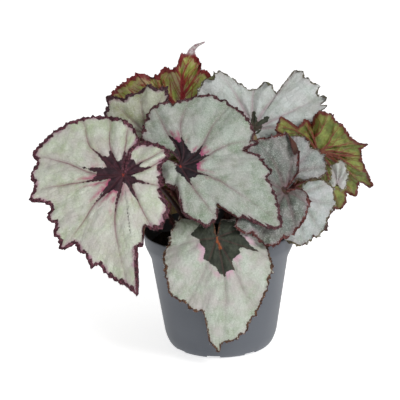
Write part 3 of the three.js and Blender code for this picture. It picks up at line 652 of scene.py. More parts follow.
def window(angle, centre, width):
    """1 at an angle and 0 past a width to either side of it."""
    return smoothstep(1 - np.abs(angle - centre) / width, 0, 1)


def small_curls(even, margin_angle, margin_reach, placed, rng):
    """Short stretches of the margin that roll up or down: angle, half-width, depth, radius and side."""
    curls = []
    place = rng.uniform(*FIRST_CURL)
    while place < even[-1]:
        at = int(np.searchsorted(even, place))
        width = rng.uniform(*CURL_HALF_WIDTHS) / margin_reach[at] / DEGREE
        depth = rng.uniform(*CURL_DEPTHS) * min(1, margin_reach[at] / FULL_CURL_REACH)
        side = 1 if rng.uniform() < ROLLED_UP else -1
        radius = rng.uniform(*CURL_RADII)
        if all(abs(margin_angle[at] - centre) > width + other for centre, other, *_ in placed):
            curls.append((margin_angle[at], width, depth, radius, side))
        place += rng.uniform(*CURL_GAPS)
    return curls


# ---------------------------------------------------------------- the blade's mesh

# least blade length, steps round the margin and rings out to it
FINE_BLADES = [(50, 620, 70), (34, 440, 50), (0, 300, 34)]
RING_CROWDING = 1.35        # how much closer the rings lie near the margin
TOOTH_ROOT = 14             # power of the way to the margin with which teeth grow
TOOTH_SHIFT = 0.5
FLAT_HEART = 6              # distance from the joint over which the relief starts
PLEAT = 2.6
PLEAT_FALL = 1.6            # pleats are highest at half of this share of the way out
BULGE = 0.8
QUILT = (0.4, 3, 6)         # height, its spread from a side vein, and from the margin
MAIN_GROOVE = (0.4, 0.9)    # depth and spread, on the upper side
SIDE_GROOVE = (0.15, 0.7)
MAIN_RIDGE = (0.5, 0.8)     # height and spread, on the underside
SIDE_RIDGE = (0.2, 0.6)
RIDGE_END = 4               # distance from the margin
# wavelength and height, and of ruffles the power that keeps them near the margin
LUMPS = [(9, 0.3), (3.2, 0.1)]
RUFFLES = [(11, 0.55, 9), (6.3, 0.35, 9), (2.7, 0.28, 40)]
FOLD_TURN = 2.7             # radians after which a curled margin goes on straight, as a flap
RIM_WIDTH = 1.4
RIM_WAVES = [(0.3, 1.7, 1), (0.25, 0.9, 0)]                     # share, millimetres a radian, phase
THIN_RIM_LOSS = 0.75
THIN_RIM_FADE = 6
STREAK_HALF_WIDTHS = (0.9, 0.6)
PALE_TIP_HALF_WIDTH = 14    # degrees
JOINT_STAR = 8              # how far inside its star a joint counts
JOINT_VEIN = 0.9            # and how far inside a vein
EDGE_MARGIN = 0.1           # the least distance to the margin, on it
FIRST_HAIR = 0.3
HAIR_WAY_RING = -4          # the ring from which the way out of the margin is taken
HAIR_SPACING = 0.38
HAIR_JITTER = 0.2
HAIR_ROOT = 0.25
HAIR_SPREAD = 0.6
HAIR_LENGTHS = (0.6, 2.1)
HAIR_RADIUS = 0.08
PALE_HAIRS = 0.12           # share of the hairs along a dark margin


def near_vein(field, spread):
    return np.exp(-((np.minimum(field, 0) / spread) ** 2))


def blade_grid(leaf, rng):
    """The blade's points in its own plane, from rings round the joint to the toothed margin."""
    length = max(reach for _, reach in leaf["outline"])
    steps, rings = next((steps, rings) for least, steps, rings in FINE_BLADES if length >= least)
    even, margin_angle, margin_reach, out_part, round_part = fine_margin(leaf, steps)
    placed = leaf.get("curls", [])
    curls = placed + small_curls(even, margin_angle, margin_reach, placed, rng)
    for centre, width, depth, radius, _ in curls:
        margin_reach = margin_reach + max(depth - radius, 0) * window(margin_angle, centre, width)
    tooth = teeth(even, rng)
    share = 1 - (1 - np.linspace(0, 1, rings + 1)[1:, None]) ** RING_CROWDING
    edge_pull = share**TOOTH_ROOT
    reach = margin_reach + tooth * out_part * edge_pull
    shift = edge_pull * np.clip(tooth * round_part, -TOOTH_SHIFT, TOOTH_SHIFT)
    return SimpleNamespace(
        steps=steps, rings=rings, curls=curls, even=even, margin_angle=margin_angle,
        margin_reach=margin_reach, reach=reach, angle=margin_angle + shift / margin_reach / DEGREE,
        out=share * reach, share=np.broadcast_to(share, reach.shape),
    )


def blade_fields(leaf, grid, rng):
    """How far each point lies inside a main vein, a side vein, the margin and the star, and its pleat."""
    mains, sides = vein_paths(leaf, rng)
    angle, out = grid.angle, grid.out
    main = np.max([path_field(angle, out, path, width) for path, width in mains], axis=0)
    far = np.full(out.shape, -FAR)
    side = np.max([path_field(angle, out, path, width) for path, width in sides] or [far], axis=0)
    edge = margin_distance(angle, out, grid.margin_angle, grid.margin_reach)
    edge = np.minimum(edge, (1 - grid.share) * grid.reach + EDGE_MARGIN)
    star = star_field(angle, out, leaf["star"]) if "star" in leaf else -out
    return SimpleNamespace(main=main, side=side, edge=edge, star=star, pleat=pleats(angle, out, mains))


def blade_relief(leaf, grid, fields, rng):
    """Pleated and quilted between the veins, sunken along them, and ruffled near the margin."""
    share = grid.share
    x, y = grid.out * np.cos(grid.angle * DEGREE), grid.out * np.sin(grid.angle * DEGREE)
    inside = smoothstep(grid.out, 0, FLAT_HEART)
    relief = PLEAT * fields.pleat * share * (PLEAT_FALL - share)
    relief += leaf.get("bulge", BULGE) * np.sin(math.pi * share) ** 2
    height, spread, margin = QUILT
    relief += height * (1 - near_vein(fields.side, spread)) * smoothstep(fields.edge, 0, margin)
    for field, (depth, spread) in ((fields.main, MAIN_GROOVE), (fields.side, SIDE_GROOVE)):
        relief -= depth * near_vein(field, spread) * inside
    for wavelength, rise in LUMPS:
        relief += rise * lumps(x, y, wavelength, rng) * inside
    for wavelength, rise, power in RUFFLES:
        phase = rng.uniform(0, FULL_TURN)
        relief += rise * np.sin(grid.even * FULL_TURN / wavelength + phase) * share**power
    return relief


def roll_curls(grid, relief):
    """Rolls the curled stretches of margin: how far out each point then is, and its relief."""
    rolled = grid.out
    for centre, width, depth, radius, way in grid.curls:
        start = grid.reach - depth * window(grid.angle, centre, width)
        past = np.maximum(grid.out - start, 0)
        turn = np.minimum(past / radius, FOLD_TURN)
        flap = past - turn * radius
        rolled = rolled - past + radius * np.sin(turn) + flap * np.cos(turn)
        relief = relief + way * (radius * (1 - np.cos(turn)) + flap * np.sin(turn))
    return rolled, relief


def blade_sides(leaf, grid, fields, surface):
    """The points of the upper side, then those of the underside with its raised veins."""
    up = leaf_axes(leaf)[0]
    origin = np.zeros(1)
    centre = blade_points(leaf, origin, origin, origin, origin)
    normal = unit(np.cross(np.gradient(surface, axis=0), np.gradient(surface, axis=1)))
    normal *= np.sign((normal[:grid.rings // 2] @ up).mean())
    half = BLADE_THICKNESS / 2 * (1 - THIN_EDGE * grid.share[..., None] ** THIN_EDGE_POWER)
    ridge = np.zeros(grid.out.shape)
    for field, (height, spread) in ((fields.main, MAIN_RIDGE), (fields.side, SIDE_RIDGE)):
        ridge = ridge + height * near_vein(field, spread)
    ridge = (ridge * smoothstep(fields.edge, 0, RIDGE_END))[..., None]
    upper = (surface + normal * half).reshape(-1, 3)
    lower = (surface - normal * (half + ridge)).reshape(-1, 3)
    lift = up * BLADE_THICKNESS / 2
    return np.concatenate([centre + lift, upper, centre - lift, lower])


def blade_faces(grid):
    """Faces of both sides and of the rim between them, with 0 for the upper side and 1 for the underside."""
    rings, steps = grid.rings, grid.steps
    width = steps + 1
    count = 1 + rings * width
    ring, step = np.meshgrid(np.arange(rings - 1), np.arange(steps), indexing="ij")
    inner = (1 + ring * width + step).ravel()
    quads = np.stack([inner, inner + width, inner + width + 1, inner + 1], axis=1)
    fan = np.stack([np.zeros(steps, int), 1 + np.arange(steps), 2 + np.arange(steps)], axis=1)
    first = 1 + np.arange(rings) * width
    rim = np.concatenate([[0], first, 1 + (rings - 1) * width + np.arange(1, steps), first[::-1] + steps])
    after = np.roll(rim, -1)
    rim_quads = np.stack([rim, rim + count, after + count, after], axis=1)
    faces = [quads, quads[:, ::-1] + count, rim_quads, fan, fan[:, ::-1] + count]
    return faces, np.concatenate([np.full(len(group), kind) for group, kind in zip(faces, (0, 1, 0, 0, 1))])


def both_sides(field, at_joint):
    one_side = np.concatenate([[at_joint], np.clip(field, -FAR, FAR).ravel()])
    return np.concatenate([one_side, one_side])


def blade_attributes(leaf, grid, fields):
    """What the colours follow: millimetres inside each feature, or shares, for every point of both sides."""
    rim = leaf.get("rim", RIM_WIDTH) * (1 + sum(
        share * np.sin(grid.even / pace + phase) for share, pace, phase in RIM_WAVES))
    for low, high in leaf.get("thin_rim", []):
        thin = window(grid.margin_angle, (low + high) / 2, (high - low) / 2 + THIN_RIM_FADE)
        rim = rim * (1 - THIN_RIM_LOSS * thin)
    streak = np.array(leaf.get("streak", [(0, 0), (0, 1)]), float)
    pale = smoothstep(grid.out, *leaf.get("pale_tip", (FAR, 2 * FAR)))
    values = {
        "main_vein": (fields.main, JOINT_VEIN),
        "side_vein": (fields.side, -FAR),
        "star": (fields.star, JOINT_STAR if "star" in leaf else 0),
        "edge": (fields.edge, FAR),
        "rim": (np.broadcast_to(rim, grid.out.shape) - fields.edge, -FAR),
        "streak": (path_field(grid.angle, grid.out, streak, STREAK_HALF_WIDTHS), STREAK_HALF_WIDTHS[0]),
        "out": (grid.out, 0),
        "pleat": (fields.pleat, 0),
        "halo": (window(grid.angle, *leaf.get("halo", (0, FAR))), 1),
        "pale": (pale * window(grid.angle, 0, PALE_TIP_HALF_WIDTH), 0),
    }
    return {key: both_sides(field, at_joint) for key, (field, at_joint) in values.items()}


def make_margin_hairs(leaf, grid, surface, rng):
    """A fringe of short hairs, dark along most of the margin and pale where the coloured rim is thin."""
    outward = unit(surface[-1] - surface[HAIR_WAY_RING])
    places = np.arange(FIRST_HAIR, grid.even[-1], HAIR_SPACING)
    places = places + rng.uniform(-HAIR_JITTER, HAIR_JITTER, len(places))
    index = np.clip(np.searchsorted(grid.even, places), 0, len(grid.even) - 1)
    roots = surface[-1][index] - outward[index] * HAIR_ROOT
    direction = outward[index] + HAIR_SPREAD * rng.normal(size=(len(index), 3))
    lengths = rng.uniform(*HAIR_LENGTHS, len(index))
    pale = rng.uniform(0, 1, len(index)) < PALE_HAIRS
    for low, high in leaf.get("thin_rim", []):
        pale |= (grid.margin_angle[index] > low) & (grid.margin_angle[index] < high)
    for kind, chosen in (("dark", ~pale), ("pale", pale)):
        points, faces = hair_mesh(roots[chosen], direction[chosen], lengths[chosen], HAIR_RADIUS)
        name = f"leaf_{leaf['name']}_{kind}_hairs"
        add_piece(make_object(name, points, [faces], [MATERIALS[f"{kind}_hair"]]), "leaf_blade")


def make_blade(leaf, materials, seed):
    rng = np.random.default_rng(seed)
    grid = blade_grid(leaf, rng)
    fields = blade_fields(leaf, grid, rng)
    relief = blade_relief(leaf, grid, fields, rng)
    rolled, relief = roll_curls(grid, relief)
    surface = blade_points(leaf, grid.angle, rolled, grid.share, relief)
    points = blade_sides(leaf, grid, fields, surface)
    faces, kinds = blade_faces(grid)
    attributes = blade_attributes(leaf, grid, fields)
    piece = make_object(f"leaf_{leaf['name']}_blade_fine", points, faces, materials, kinds, attributes)
    add_piece(piece, "leaf_blade", f"leaf_{leaf['name']}_blade")
    make_margin_hairs(leaf, grid, surface, rng)


# ---------------------------------------------------------------- stalks

STALK_FOOT_Z = 68
STALK_CLIMB = 0.45          # share of the height that a stalk climbs before it leans
STALK_TOP_RADIUS = 0.9
STALK_RADIUS_GROWTH = 0.009
STALK_TAPER = 0.6
STALK_FLARE = 0.9           # how much wider the stalk gets where it spreads into the blade
STALK_FLARE_START = 0.955
STALK_STEPS = 60
STALK_SIDES = 20
STALK_RIBS = 5
STALK_RIB_DEPTH = 0.05
STALK_RIB_TWIST = 3         # radians by which their wave moves on from foot to top
STALK_HAIRS_PER_MM = 9
STALK_HAIR_PLACES = (0.1, 0.99)
STALK_HAIR_LENGTHS = (1.2, 3.2)
STALK_HAIR_RADIUS = 0.07
STALK_HAIR_ROOT = 0.1
STALK_HAIR_LEAN = 0.25      # along the stalk
STALK_HAIR_SPREAD = 0.3


def stalk_curve(leaf, share):
    """Points of the stalk's centre line, a cubic curve, and its direction at each."""
    up = leaf_axes(leaf)[0]
    top = np.array(leaf["joint"]) - up * (BLADE_THICKNESS / 2)
    foot = np.array([*leaf["foot"], STALK_FOOT_Z], float)
    climb = foot + np.array([0, 0, (top[2] - STALK_FOOT_Z) * STALK_CLIMB])
    lean = top - up * leaf["reach"]
    s = share[:, None]
    centre = (1 - s) ** 3 * foot + 3 * (1 - s) ** 2 * s * climb + 3 * (1 - s) * s**2 * lean + s**3 * top
    along = 3 * (1 - s) ** 2 * (climb - foot) + 6 * (1 - s) * s * (lean - climb) + 3 * s**2 * (top - lean)
    return centre, unit(along)


def tube_frames(along):
    side = np.zeros_like(along)
    current = np.array([0.0, 1, 0])
    for k, direction in enumerate(along):
        current = unit(current - direction * (current @ direction))
        side[k] = current
    return side, np.cross(along, side)


def tube_mesh(centre, side, across, radii, sides):
    turn = np.linspace(0, FULL_TURN, sides, endpoint=False)
    ring = side[:, None] * np.cos(turn)[:, None] + across[:, None] * np.sin(turn)[:, None]
    points = (centre[:, None] + ring * radii[..., None]).reshape(-1, 3)
    middle = np.arange(1, sides - 1)
    foot_cap = np.stack([np.zeros_like(middle), middle + 1, middle], axis=1)
    top_cap = np.stack([np.zeros_like(middle), middle, middle + 1], axis=1) + (len(centre) - 1) * sides
    return points, [ring_quads(len(centre), sides), foot_cap, top_cap]


def make_stalk(leaf, seed):
    rng = np.random.default_rng(seed)
    length = max(reach for _, reach in leaf["outline"])
    share = np.linspace(0, 1, STALK_STEPS + 1)
    centre, along = stalk_curve(leaf, share)
    side, across = tube_frames(along)
    radius = STALK_TOP_RADIUS + STALK_RADIUS_GROWTH * length + STALK_TAPER * (1 - share)
    radius = radius + STALK_FLARE * smoothstep(share, STALK_FLARE_START, 1.0) ** 2
    turn = np.linspace(0, FULL_TURN, STALK_SIDES, endpoint=False)
    ribs = 1 + STALK_RIB_DEPTH * np.cos(STALK_RIBS * turn[None] + STALK_RIB_TWIST * share[:, None])
    points, faces = tube_mesh(centre, side, across, radius[:, None] * ribs, STALK_SIDES)
    piece = make_object(f"leaf_{leaf['name']}_stalk_fine", points, faces, [MATERIALS["stalk"]])
    add_piece(piece, "leaf_stalk", f"leaf_{leaf['name']}_stalk")

    run = np.linalg.norm(np.diff(centre, axis=0), axis=1).sum()
    count = int(run * STALK_HAIRS_PER_MM)
    index = rng.uniform(*STALK_HAIR_PLACES, count) * STALK_STEPS
    low = index.astype(int)
    part = (index - low)[:, None]
    spot = centre[low] * (1 - part) + centre[low + 1] * part
    angle = rng.uniform(0, FULL_TURN, count)[:, None]
    outward = side[low] * np.cos(angle) + across[low] * np.sin(angle)
    roots = spot + outward * (radius[low] - STALK_HAIR_ROOT)[:, None]
    direction = outward + STALK_HAIR_LEAN * along[low] + STALK_HAIR_SPREAD * rng.normal(size=(count, 3))
    lengths = rng.uniform(*STALK_HAIR_LENGTHS, count)
    points, faces = hair_mesh(roots, direction, lengths, STALK_HAIR_RADIUS)
    hairs = make_object(f"leaf_{leaf['name']}_stalk_hairs", points, [faces], [MATERIALS["stalk_hair"]])
    add_piece(hairs, "leaf_stalk")


# ---------------------------------------------------------------- materials


class Shader:
    """A material and its nodes; each call adds one node, or two, and gives back the output."""

    def __init__(self, name, **finish):
        self.material = bpy.data.materials.new(name)
        self.material.use_nodes = True
        self.tree = self.material.node_tree
        self.surface = self.tree.nodes["Principled BSDF"]
        for socket, value in finish.items():
            self.surface.inputs[socket.replace("_", " ")].default_value = value

    def add(self, kind, inputs, output=0, **settings):
        node = self.tree.nodes.new(kind)
        for key, value in settings.items():
            setattr(node, key, value)
        for key, value in inputs.items():
            if isinstance(value, bpy.types.NodeSocket):
                self.tree.links.new(value, node.inputs[key])
            else:
                node.inputs[key].default_value = value
        return node.outputs[output]

    def place(self):
        return self.add("ShaderNodeTexCoord", {}, "Object")

    def attribute(self, name):
        return self.add("ShaderNodeAttribute", {}, "Fac", attribute_name=name)

    def math(self, operation, first, second):
        return self.add("ShaderNodeMath", {0: first, 1: second}, operation=operation)

    def plus(self, first, second):
        return self.math("ADD", first, second)

    def times(self, first, second):
        return self.math("MULTIPLY", first, second)

    def rise(self, value, low, high):
        inputs = {"Value": value, "From Min": low, "From Max": high}
        return self.add("ShaderNodeMapRange", inputs, "Result", interpolation_type="SMOOTHSTEP")

    def noise(self, feature_mm, detail=3.0, roughness=0.55):
        inputs = dict(Vector=self.place(), Scale=1 / MM / feature_mm, Detail=detail, Roughness=roughness)
        return self.add("ShaderNodeTexNoise", inputs, "Fac")

    def cells(self, feature_mm, feature="F1"):
        inputs = dict(Vector=self.place(), Scale=1 / MM / feature_mm)
        return self.add("ShaderNodeTexVoronoi", inputs, "Distance", feature=feature)

    def ragged(self, feature_mm, detail, size_mm):
        """An uneven shift of an outline, in millimetres."""
        return self.times(self.math("SUBTRACT", self.noise(feature_mm, detail), 0.5), size_mm)

    def mix(self, factor, first, second):
        return self.add("ShaderNodeMix", {0: factor, 6: first, 7: second}, 2, data_type="RGBA")

    def over(self, colour, mask, strength, top):
        """A colour laid over another where a mask says, and only that strongly."""
        return self.mix(self.times(mask, strength), colour, top)

    def layers(self, colour, paint, layers):
        for mask, strength, key in layers:
            colour = self.over(colour, mask, strength, paint[key])
        return colour

    def finish(self, colour, bump, strength, distance_mm):
        self.tree.links.new(colour, self.surface.inputs["Base Color"])
        inputs = {"Height": bump, "Strength": strength, "Distance": distance_mm * MM}
        self.tree.links.new(self.add("ShaderNodeBump", inputs), self.surface.inputs["Normal"])
        return self.material


def srgb(code):
    """A colour written as in a picture editor, for a shader."""
    parts = [int(code[k:k + 2], 16) / 255 for k in (1, 3, 5)]
    return (*[part / 12.92 if part <= 0.04045 else ((part + 0.055) / 1.055) ** 2.4 for part in parts], 1)


# colours of the upper sides, and how strong the coloured parts are; each leaf's own look says what differs.
# The dark colour laid round the joint is painted shade, for the shadow in the hollow there
SILVER_LEAF = dict(
    silver="#b3b9b0", green="#98a38f", patch="#c9cbc6", pearl="#dfe2de", net="#77806f",
    dark_grain="#6f7a6a", light_grain="#e8ebe6", blush="#b5a6aa", blush_strength=0.25, painted_joint_shade="#444a3c",
    painted_joint_shade_strength=0.0, flush="#96707c", flush_strength=0.35, vein="#7c5c66", vein_strength=0.4,
    halo="#9c4468", halo_strength=0.1, star="#24171b", fleck="#382a2c", star_vein="#5c2a30",
    heart="#8c3226", rim="#3c2126", rim_light="#6b4146",
)
LOOKS = dict(
    a=dict(silver="#c0c5b6", green="#a8b494", star="#29161e", fleck="#40222c", vein="#703a4c",
           vein_strength=0.55, halo="#9c2a5c", halo_strength=0.95, flush="#98597a", flush_strength=0.85,
           rim="#351820", rim_light="#6e3c49", blush_strength=0.45),
    b=dict(silver="#9da69c", green="#7f8e79", star="#150e13", fleck="#26171f", vein="#6d3f50",
           vein_strength=0.35, halo="#94245a", halo_strength=0.9, flush="#8c6876", flush_strength=0.4,
           rim="#341a1e", rim_light="#643c42"),
    c=dict(silver="#b0b8ac", green="#96a28d", star="#2a2e26", fleck="#3a3f33", vein="#8f8684",
           vein_strength=0.3, halo="#bf93a8", halo_strength=0.75, flush="#a08a84", flush_strength=0.15,
           rim="#3f2a20", rim_light="#6b4a34", heart="#8a4a28", blush_strength=0.5),
    e=dict(silver="#b7baa6", green="#90966f", rim="#2c141b", rim_light="#553038", flush_strength=0.8,
           flush="#7c5a68", blush_strength=0.2),
    f=dict(silver="#c2c9c6", green="#a8b1a8", star="#33372c", fleck="#474b3c", vein="#a0808c",
           rim="#4a4638", rim_light="#77705f", flush_strength=0.15, heart="#3f3a2c"),
    # g's silver and green are darker partly in its own tone and partly as painted shade, for the shadow of
    # the leaves above it; its painted shade round the joint is strong
    g=dict(silver="#646c66", green="#4b5547", star="#3b2f18", rim="#42201e", rim_light="#6e3c38",
           heart="#4a3a1c", vein_strength=0.15, painted_joint_shade_strength=0.75),
    # h1 has a weaker painted shade round its joint
    h1=dict(silver="#878f8d", green="#707a72", rim="#4c4034", rim_light="#6e6048", vein_strength=0.12,
            flush_strength=0.15, painted_joint_shade_strength=0.4),
    h2=dict(silver="#aab0b0", green="#8f9b92", rim="#4a4232", rim_light="#6e6548", vein_strength=0.12,
            flush_strength=0.1),
    k=dict(silver="#b0b6b2", green="#98a396", rim="#57513c", rim_light="#7d7658", vein_strength=0.1,
           flush_strength=0.1),
    other=dict(halo_strength=0.7),
)
# and of the undersides
GREEN_UNDERSIDE = dict(tip="#b9b2b0", tip_grain="#95777e", glow=0.2)
UNDERSIDES = dict(
    d=dict(green="#96a34e", second="#a89a70", deep="#77833a", vein="#7c1620", rim="#6c1018",
           flush_strength=0.9, side_strength=0.75),
    # i's underside colours are darker partly in its own tone and partly as painted shade, for the shade on
    # its lower part
    i=dict(green="#7d8942", second="#5a672b", deep="#4d5826", vein="#6a2c1e", rim="#581a16",
           flush_strength=0.6, side_strength=0.6),
    f=dict(green="#666b45", second="#5a5f3e", deep="#474a30", vein="#5c3a2c", rim="#403c28",
           flush_strength=0.7, side_strength=0.4),
    g=dict(green="#4a3826", second="#54342a", deep="#331a16", vein="#4c1c18", rim="#331312",
           flush_strength=0.8, glow=0.3, side_strength=0.5),
    other=dict(green="#6f7638", second="#6a5a34", deep="#54302a", vein="#5c1c1e", rim="#3c1416",
               flush_strength=0.85, glow=0.4, side_strength=0.7),
)


def paint_box(look):
    return {key: srgb(value) for key, value in look.items() if isinstance(value, str)}


def upper_material(name, look):
    look = {**SILVER_LEAF, **look}
    paint = paint_box(look)
    s = Shader(name, Roughness=0.55, Specular_IOR_Level=0.25)
    star = s.attribute("star")
    main_vein = s.attribute("main_vein")
    pleat = s.attribute("pleat")
    broad = s.noise(10)
    fine = s.noise(1.4, 4)
    grain = s.noise(0.9, 2, 0.8)
    cell = s.cells(1.0)
    net = s.cells(2.8, "DISTANCE_TO_EDGE")
    # a silver ground, greener in patches and near the veins, with speckle, net, grain and blush; darker
    # round the joint, which is painted shade for the shadow in the hollow there; and a flush towards the
    # margin
    green = s.rise(s.plus(broad, s.times(pleat, -0.12)), 0.28, 0.68)
    reach = s.plus(s.attribute("edge"), s.times(broad, 9.0))
    colour = s.layers(s.mix(green, paint["silver"], paint["green"]), paint, [
        (s.rise(s.noise(4.5), 0.48, 0.72), 0.25, "patch"),
        (s.rise(cell, 0.5, 0.1), 0.3, "pearl"),
        (s.rise(net, 0.1, 0.0), 0.14, "net"),
        (s.rise(grain, 0.56, 0.8), 0.5, "dark_grain"),
        (s.rise(grain, 0.44, 0.2), 0.5, "light_grain"),
        (s.rise(s.noise(16, 4), 0.36, 0.66), look["blush_strength"], "blush"),
        (s.rise(s.attribute("out"), 17.0, 2.0), look["painted_joint_shade_strength"], "painted_joint_shade"),
        (s.rise(reach, 9.0, 4.6), look["flush_strength"], "flush"),
    ])
    # veins, the main ones with a soft glow, fading on their way out
    fade = s.plus(s.times(s.rise(star, -40.0, -3.0), 0.75), 0.25)
    colour = s.layers(colour, paint, [
        (s.times(s.rise(main_vein, -2.6, 0.0), 0.3), fade, "vein"),
        (s.times(s.rise(main_vein, -0.35, 0.15), look["vein_strength"]), fade, "vein"),
        (s.rise(s.attribute("side_vein"), -0.4, 0.1), 0.2 * look["vein_strength"], "vein"),
    ])
    # the star, with a bright halo here and there between its arms
    ragged = s.ragged(2.6, 4, 4.0)
    field = s.plus(star, ragged)
    patchy = s.times(s.rise(s.noise(14, 2), 0.38, 0.55), look["halo_strength"])
    halo = s.times(s.rise(field, -6.0, -0.6), s.times(patchy, s.attribute("halo")))
    colour = s.over(colour, halo, s.rise(pleat, 0.05, 0.5), paint["halo"])
    star_colour = s.mix(s.rise(s.noise(3.5), 0.35, 0.7), paint["star"], paint["fleck"])
    star_colour = s.over(star_colour, s.rise(main_vein, -0.35, 0.3), 0.22, paint["star_vein"])
    colour = s.mix(s.rise(field, -0.25, 0.25), colour, star_colour)
    heart = s.rise(s.plus(s.attribute("streak"), ragged), -0.6, 0.5)
    colour = s.over(colour, heart, s.rise(star, 0.0, 3.0), paint["heart"])
    # the dark margin
    rim = s.rise(s.plus(s.attribute("rim"), s.ragged(1.8, 3, 3.6)), -0.35, 0.35)
    colour = s.mix(rim, colour, s.mix(s.rise(fine, 0.42, 0.66), paint["rim"], paint["rim_light"]))
    bump = s.plus(s.times(cell, -0.5), s.times(fine, 0.6))
    bump = s.plus(bump, s.times(s.rise(net, 0.15, 0.0), -0.4))
    return s.finish(colour, bump, 0.8, 0.45)


def lower_material(name, look):
    look = {**GREEN_UNDERSIDE, **look}
    paint = paint_box(look)
    s = Shader(name, Roughness=0.45, Specular_IOR_Level=0.3)
    main_vein = s.attribute("main_vein")
    broad = s.noise(9)
    fine = s.noise(1.6, 4)
    net = s.cells(3.2, "DISTANCE_TO_EDGE")
    reach = s.math("SUBTRACT", s.times(broad, -7.0), s.attribute("edge"))
    rim = s.plus(s.attribute("rim"), s.ragged(2.0, 3, 2.4))
    # a green ground, a flush towards the margin, and red veins with a soft glow
    colour = s.layers(s.mix(s.rise(broad, 0.4, 0.6), paint["green"], paint["second"]), paint, [
        (s.rise(fine, 0.45, 0.75), 0.3, "deep"),
        (s.rise(net, 0.12, 0.02), 0.2, "vein"),
        (s.rise(reach, -8.0, -3.6), look["flush_strength"], "rim"),
        (s.rise(main_vein, -2.4, -0.2), look["glow"], "vein"),
        (s.rise(s.attribute("side_vein"), -0.5, 0.1), look["side_strength"], "vein"),
        (s.rise(main_vein, -0.15, 0.25), 0.92, "vein"),
        (s.rise(rim, -0.5, 0.4), 0.9, "rim"),
    ])
    tip = s.mix(s.rise(fine, 0.4, 0.6), paint["tip"], paint["tip_grain"])
    colour = s.mix(s.attribute("pale"), colour, tip)
    bump = s.plus(s.times(fine, 0.6), s.times(s.rise(net, 0.2, 0.0), 0.5))
    return s.finish(colour, bump, 0.6, 0.35)


def plain_material(name, first, second, feature_mm, roughness, bump_mm):
    s = Shader(name, Roughness=roughness)
    broad = s.noise(feature_mm, 4)
    fine = s.noise(feature_mm / 7, 4)
    blend = s.plus(s.times(broad, 0.6), s.times(fine, 0.4))
    colour = s.mix(s.rise(blend, 0.35, 0.65), srgb(first), srgb(second))
    return s.finish(colour, fine, 0.5, bump_mm)


def pot_material():
    s = Shader("matte_grey_plastic", Roughness=0.5, Specular_IOR_Level=0.35)
    broad = s.noise(60, 3)
    grain = s.noise(0.5, 2)
    # faint level marks left by the mould
    place = s.add("ShaderNodeMapping", {"Vector": s.place(), "Scale": (60, 60, 1400)})
    rings = s.add("ShaderNodeTexNoise", {"Vector": place, "Scale": 1.0, "Detail": 3.0}, "Fac")
    colour = s.mix(s.rise(broad, 0.3, 0.7), srgb("#50545b"), srgb("#585c63"))
    colour = s.over(colour, s.rise(rings, 0.55, 0.75), 0.12, srgb("#646a74"))
    bump = s.plus(s.times(grain, 0.7), s.times(rings, 0.3))
    return s.finish(colour, bump, 0.25, 0.08)


MATERIALS = {
    "pot": pot_material(),
    "soil": plain_material("potting_soil", "#140d09", "#2c2019", 6, 0.95, 1.2),
    "bark": plain_material("rhizome_bark", "#3c2018", "#6b4434", 4, 0.75, 0.5),
    "stalk": plain_material("stalk_skin", "#2a0b0a", "#4a1716", 5, 0.5, 0.3),
    "stalk_hair": plain_material("stalk_hair", "#3c1312", "#6c3430", 3, 0.6, 0.05),
    "dark_hair": plain_material("dark_hair", "#401820", "#7a4450", 3, 0.6, 0.05),
    "pale_hair": plain_material("pale_hair", "#b9a8a0", "#d6ccc4", 3, 0.6, 0.05),
}
UPPER_SIDES = {key: upper_material(f"upper_{key}", look) for key, look in LOOKS.items()}
LOWER_SIDES = {key: lower_material(f"underside_{key}", look) for key, look in UNDERSIDES.items()}


# ---------------------------------------------------------------- pot, soil and rhizome

# radius and height, from the middle of the underside out, up the outside and back down the inside
POT_PROFILE = [
    (0, 0), (12, 0), (13, 3.5), (34.5, 3.5), (35.5, 0.3), (35.8, 0), (38.2, 0), (39.3, 0.5), (40.7, 1.8),
    (42, 3.7), (43.1, 6.1), (44.1, 8.8), (44.9, 11.8), (49.7, 42.5), (54.5, 73.3), (56.8, 78.4),
    (58.6, 82.6), (59.1, 83.9), (59.25, 85), (59.6, 89), (60, 93), (59.9, 93.6), (59.5, 93.95), (59, 93.95),
    (58.6, 93.5), (58.4, 92), (57.7, 84), (57, 82), (53, 73.3), (43.4, 11.8), (42, 7.5), (38.5, 5), (12, 5),
    (11, 1.5), (0, 1.5),
]
POT_SIDES = 192
SHARP_ANGLE = 32
FOOT_RADIUS = 38.5
NOTCHES = 8
NOTCH_WIDTH = 11
NOTCH_REACH = 14
NOTCH_HEIGHT = 2
NOTCH_START = -10
DRAIN_HOLES = 8
DRAIN_RADIUS = 3.2
DRAIN_CIRCLE = 26
DRAIN_Z = 3
DRAIN_CUT = 16
SOIL_Z = 82
SOIL_RADIUS = 56.3
SOIL_LOWER = [(52.4, 73.3), (42.8, 11.5), (36.9, 6.5)]      # radius and height, below the top's edge
SOIL_RINGS = 60
SOIL_SIDES = 220
SOIL_RELIEF = 1.3
SOIL_WAVES = (0.31, 0.27)
SOIL_FINE_RELIEF = 0.6
SOIL_GRAIN = 0.25
CRUMBS = 2600
CRUMB_CIRCLE = 55
CRUMB_LIFT = 0.3
CRUMB_SIZES = (0.4, 1.7)
CRUMB_STRETCH = (0.5, 1.3)
CRUMB_ROUGHNESS = 0.18
RHIZOME_LENGTH = 48
RHIZOME_RADIUS = 6.1
RHIZOME_END = 0.06          # share cut off each end of the swelling, so that the ends are blunt
RHIZOME_STEPS = 120
RHIZOME_SIDES = 48
KNOBS = 7
KNOB_DEPTH = 0.45


def ring_of(radius, height, sides):
    turn = np.linspace(0, FULL_TURN, sides, endpoint=False)
    return np.stack([radius * np.cos(turn), radius * np.sin(turn), np.full(sides, height)], axis=1)


def activate(*parts):
    bpy.ops.object.select_all(action="DESELECT")
    for part in parts:
        part.select_set(True)
    bpy.context.view_layer.objects.active = parts[0]


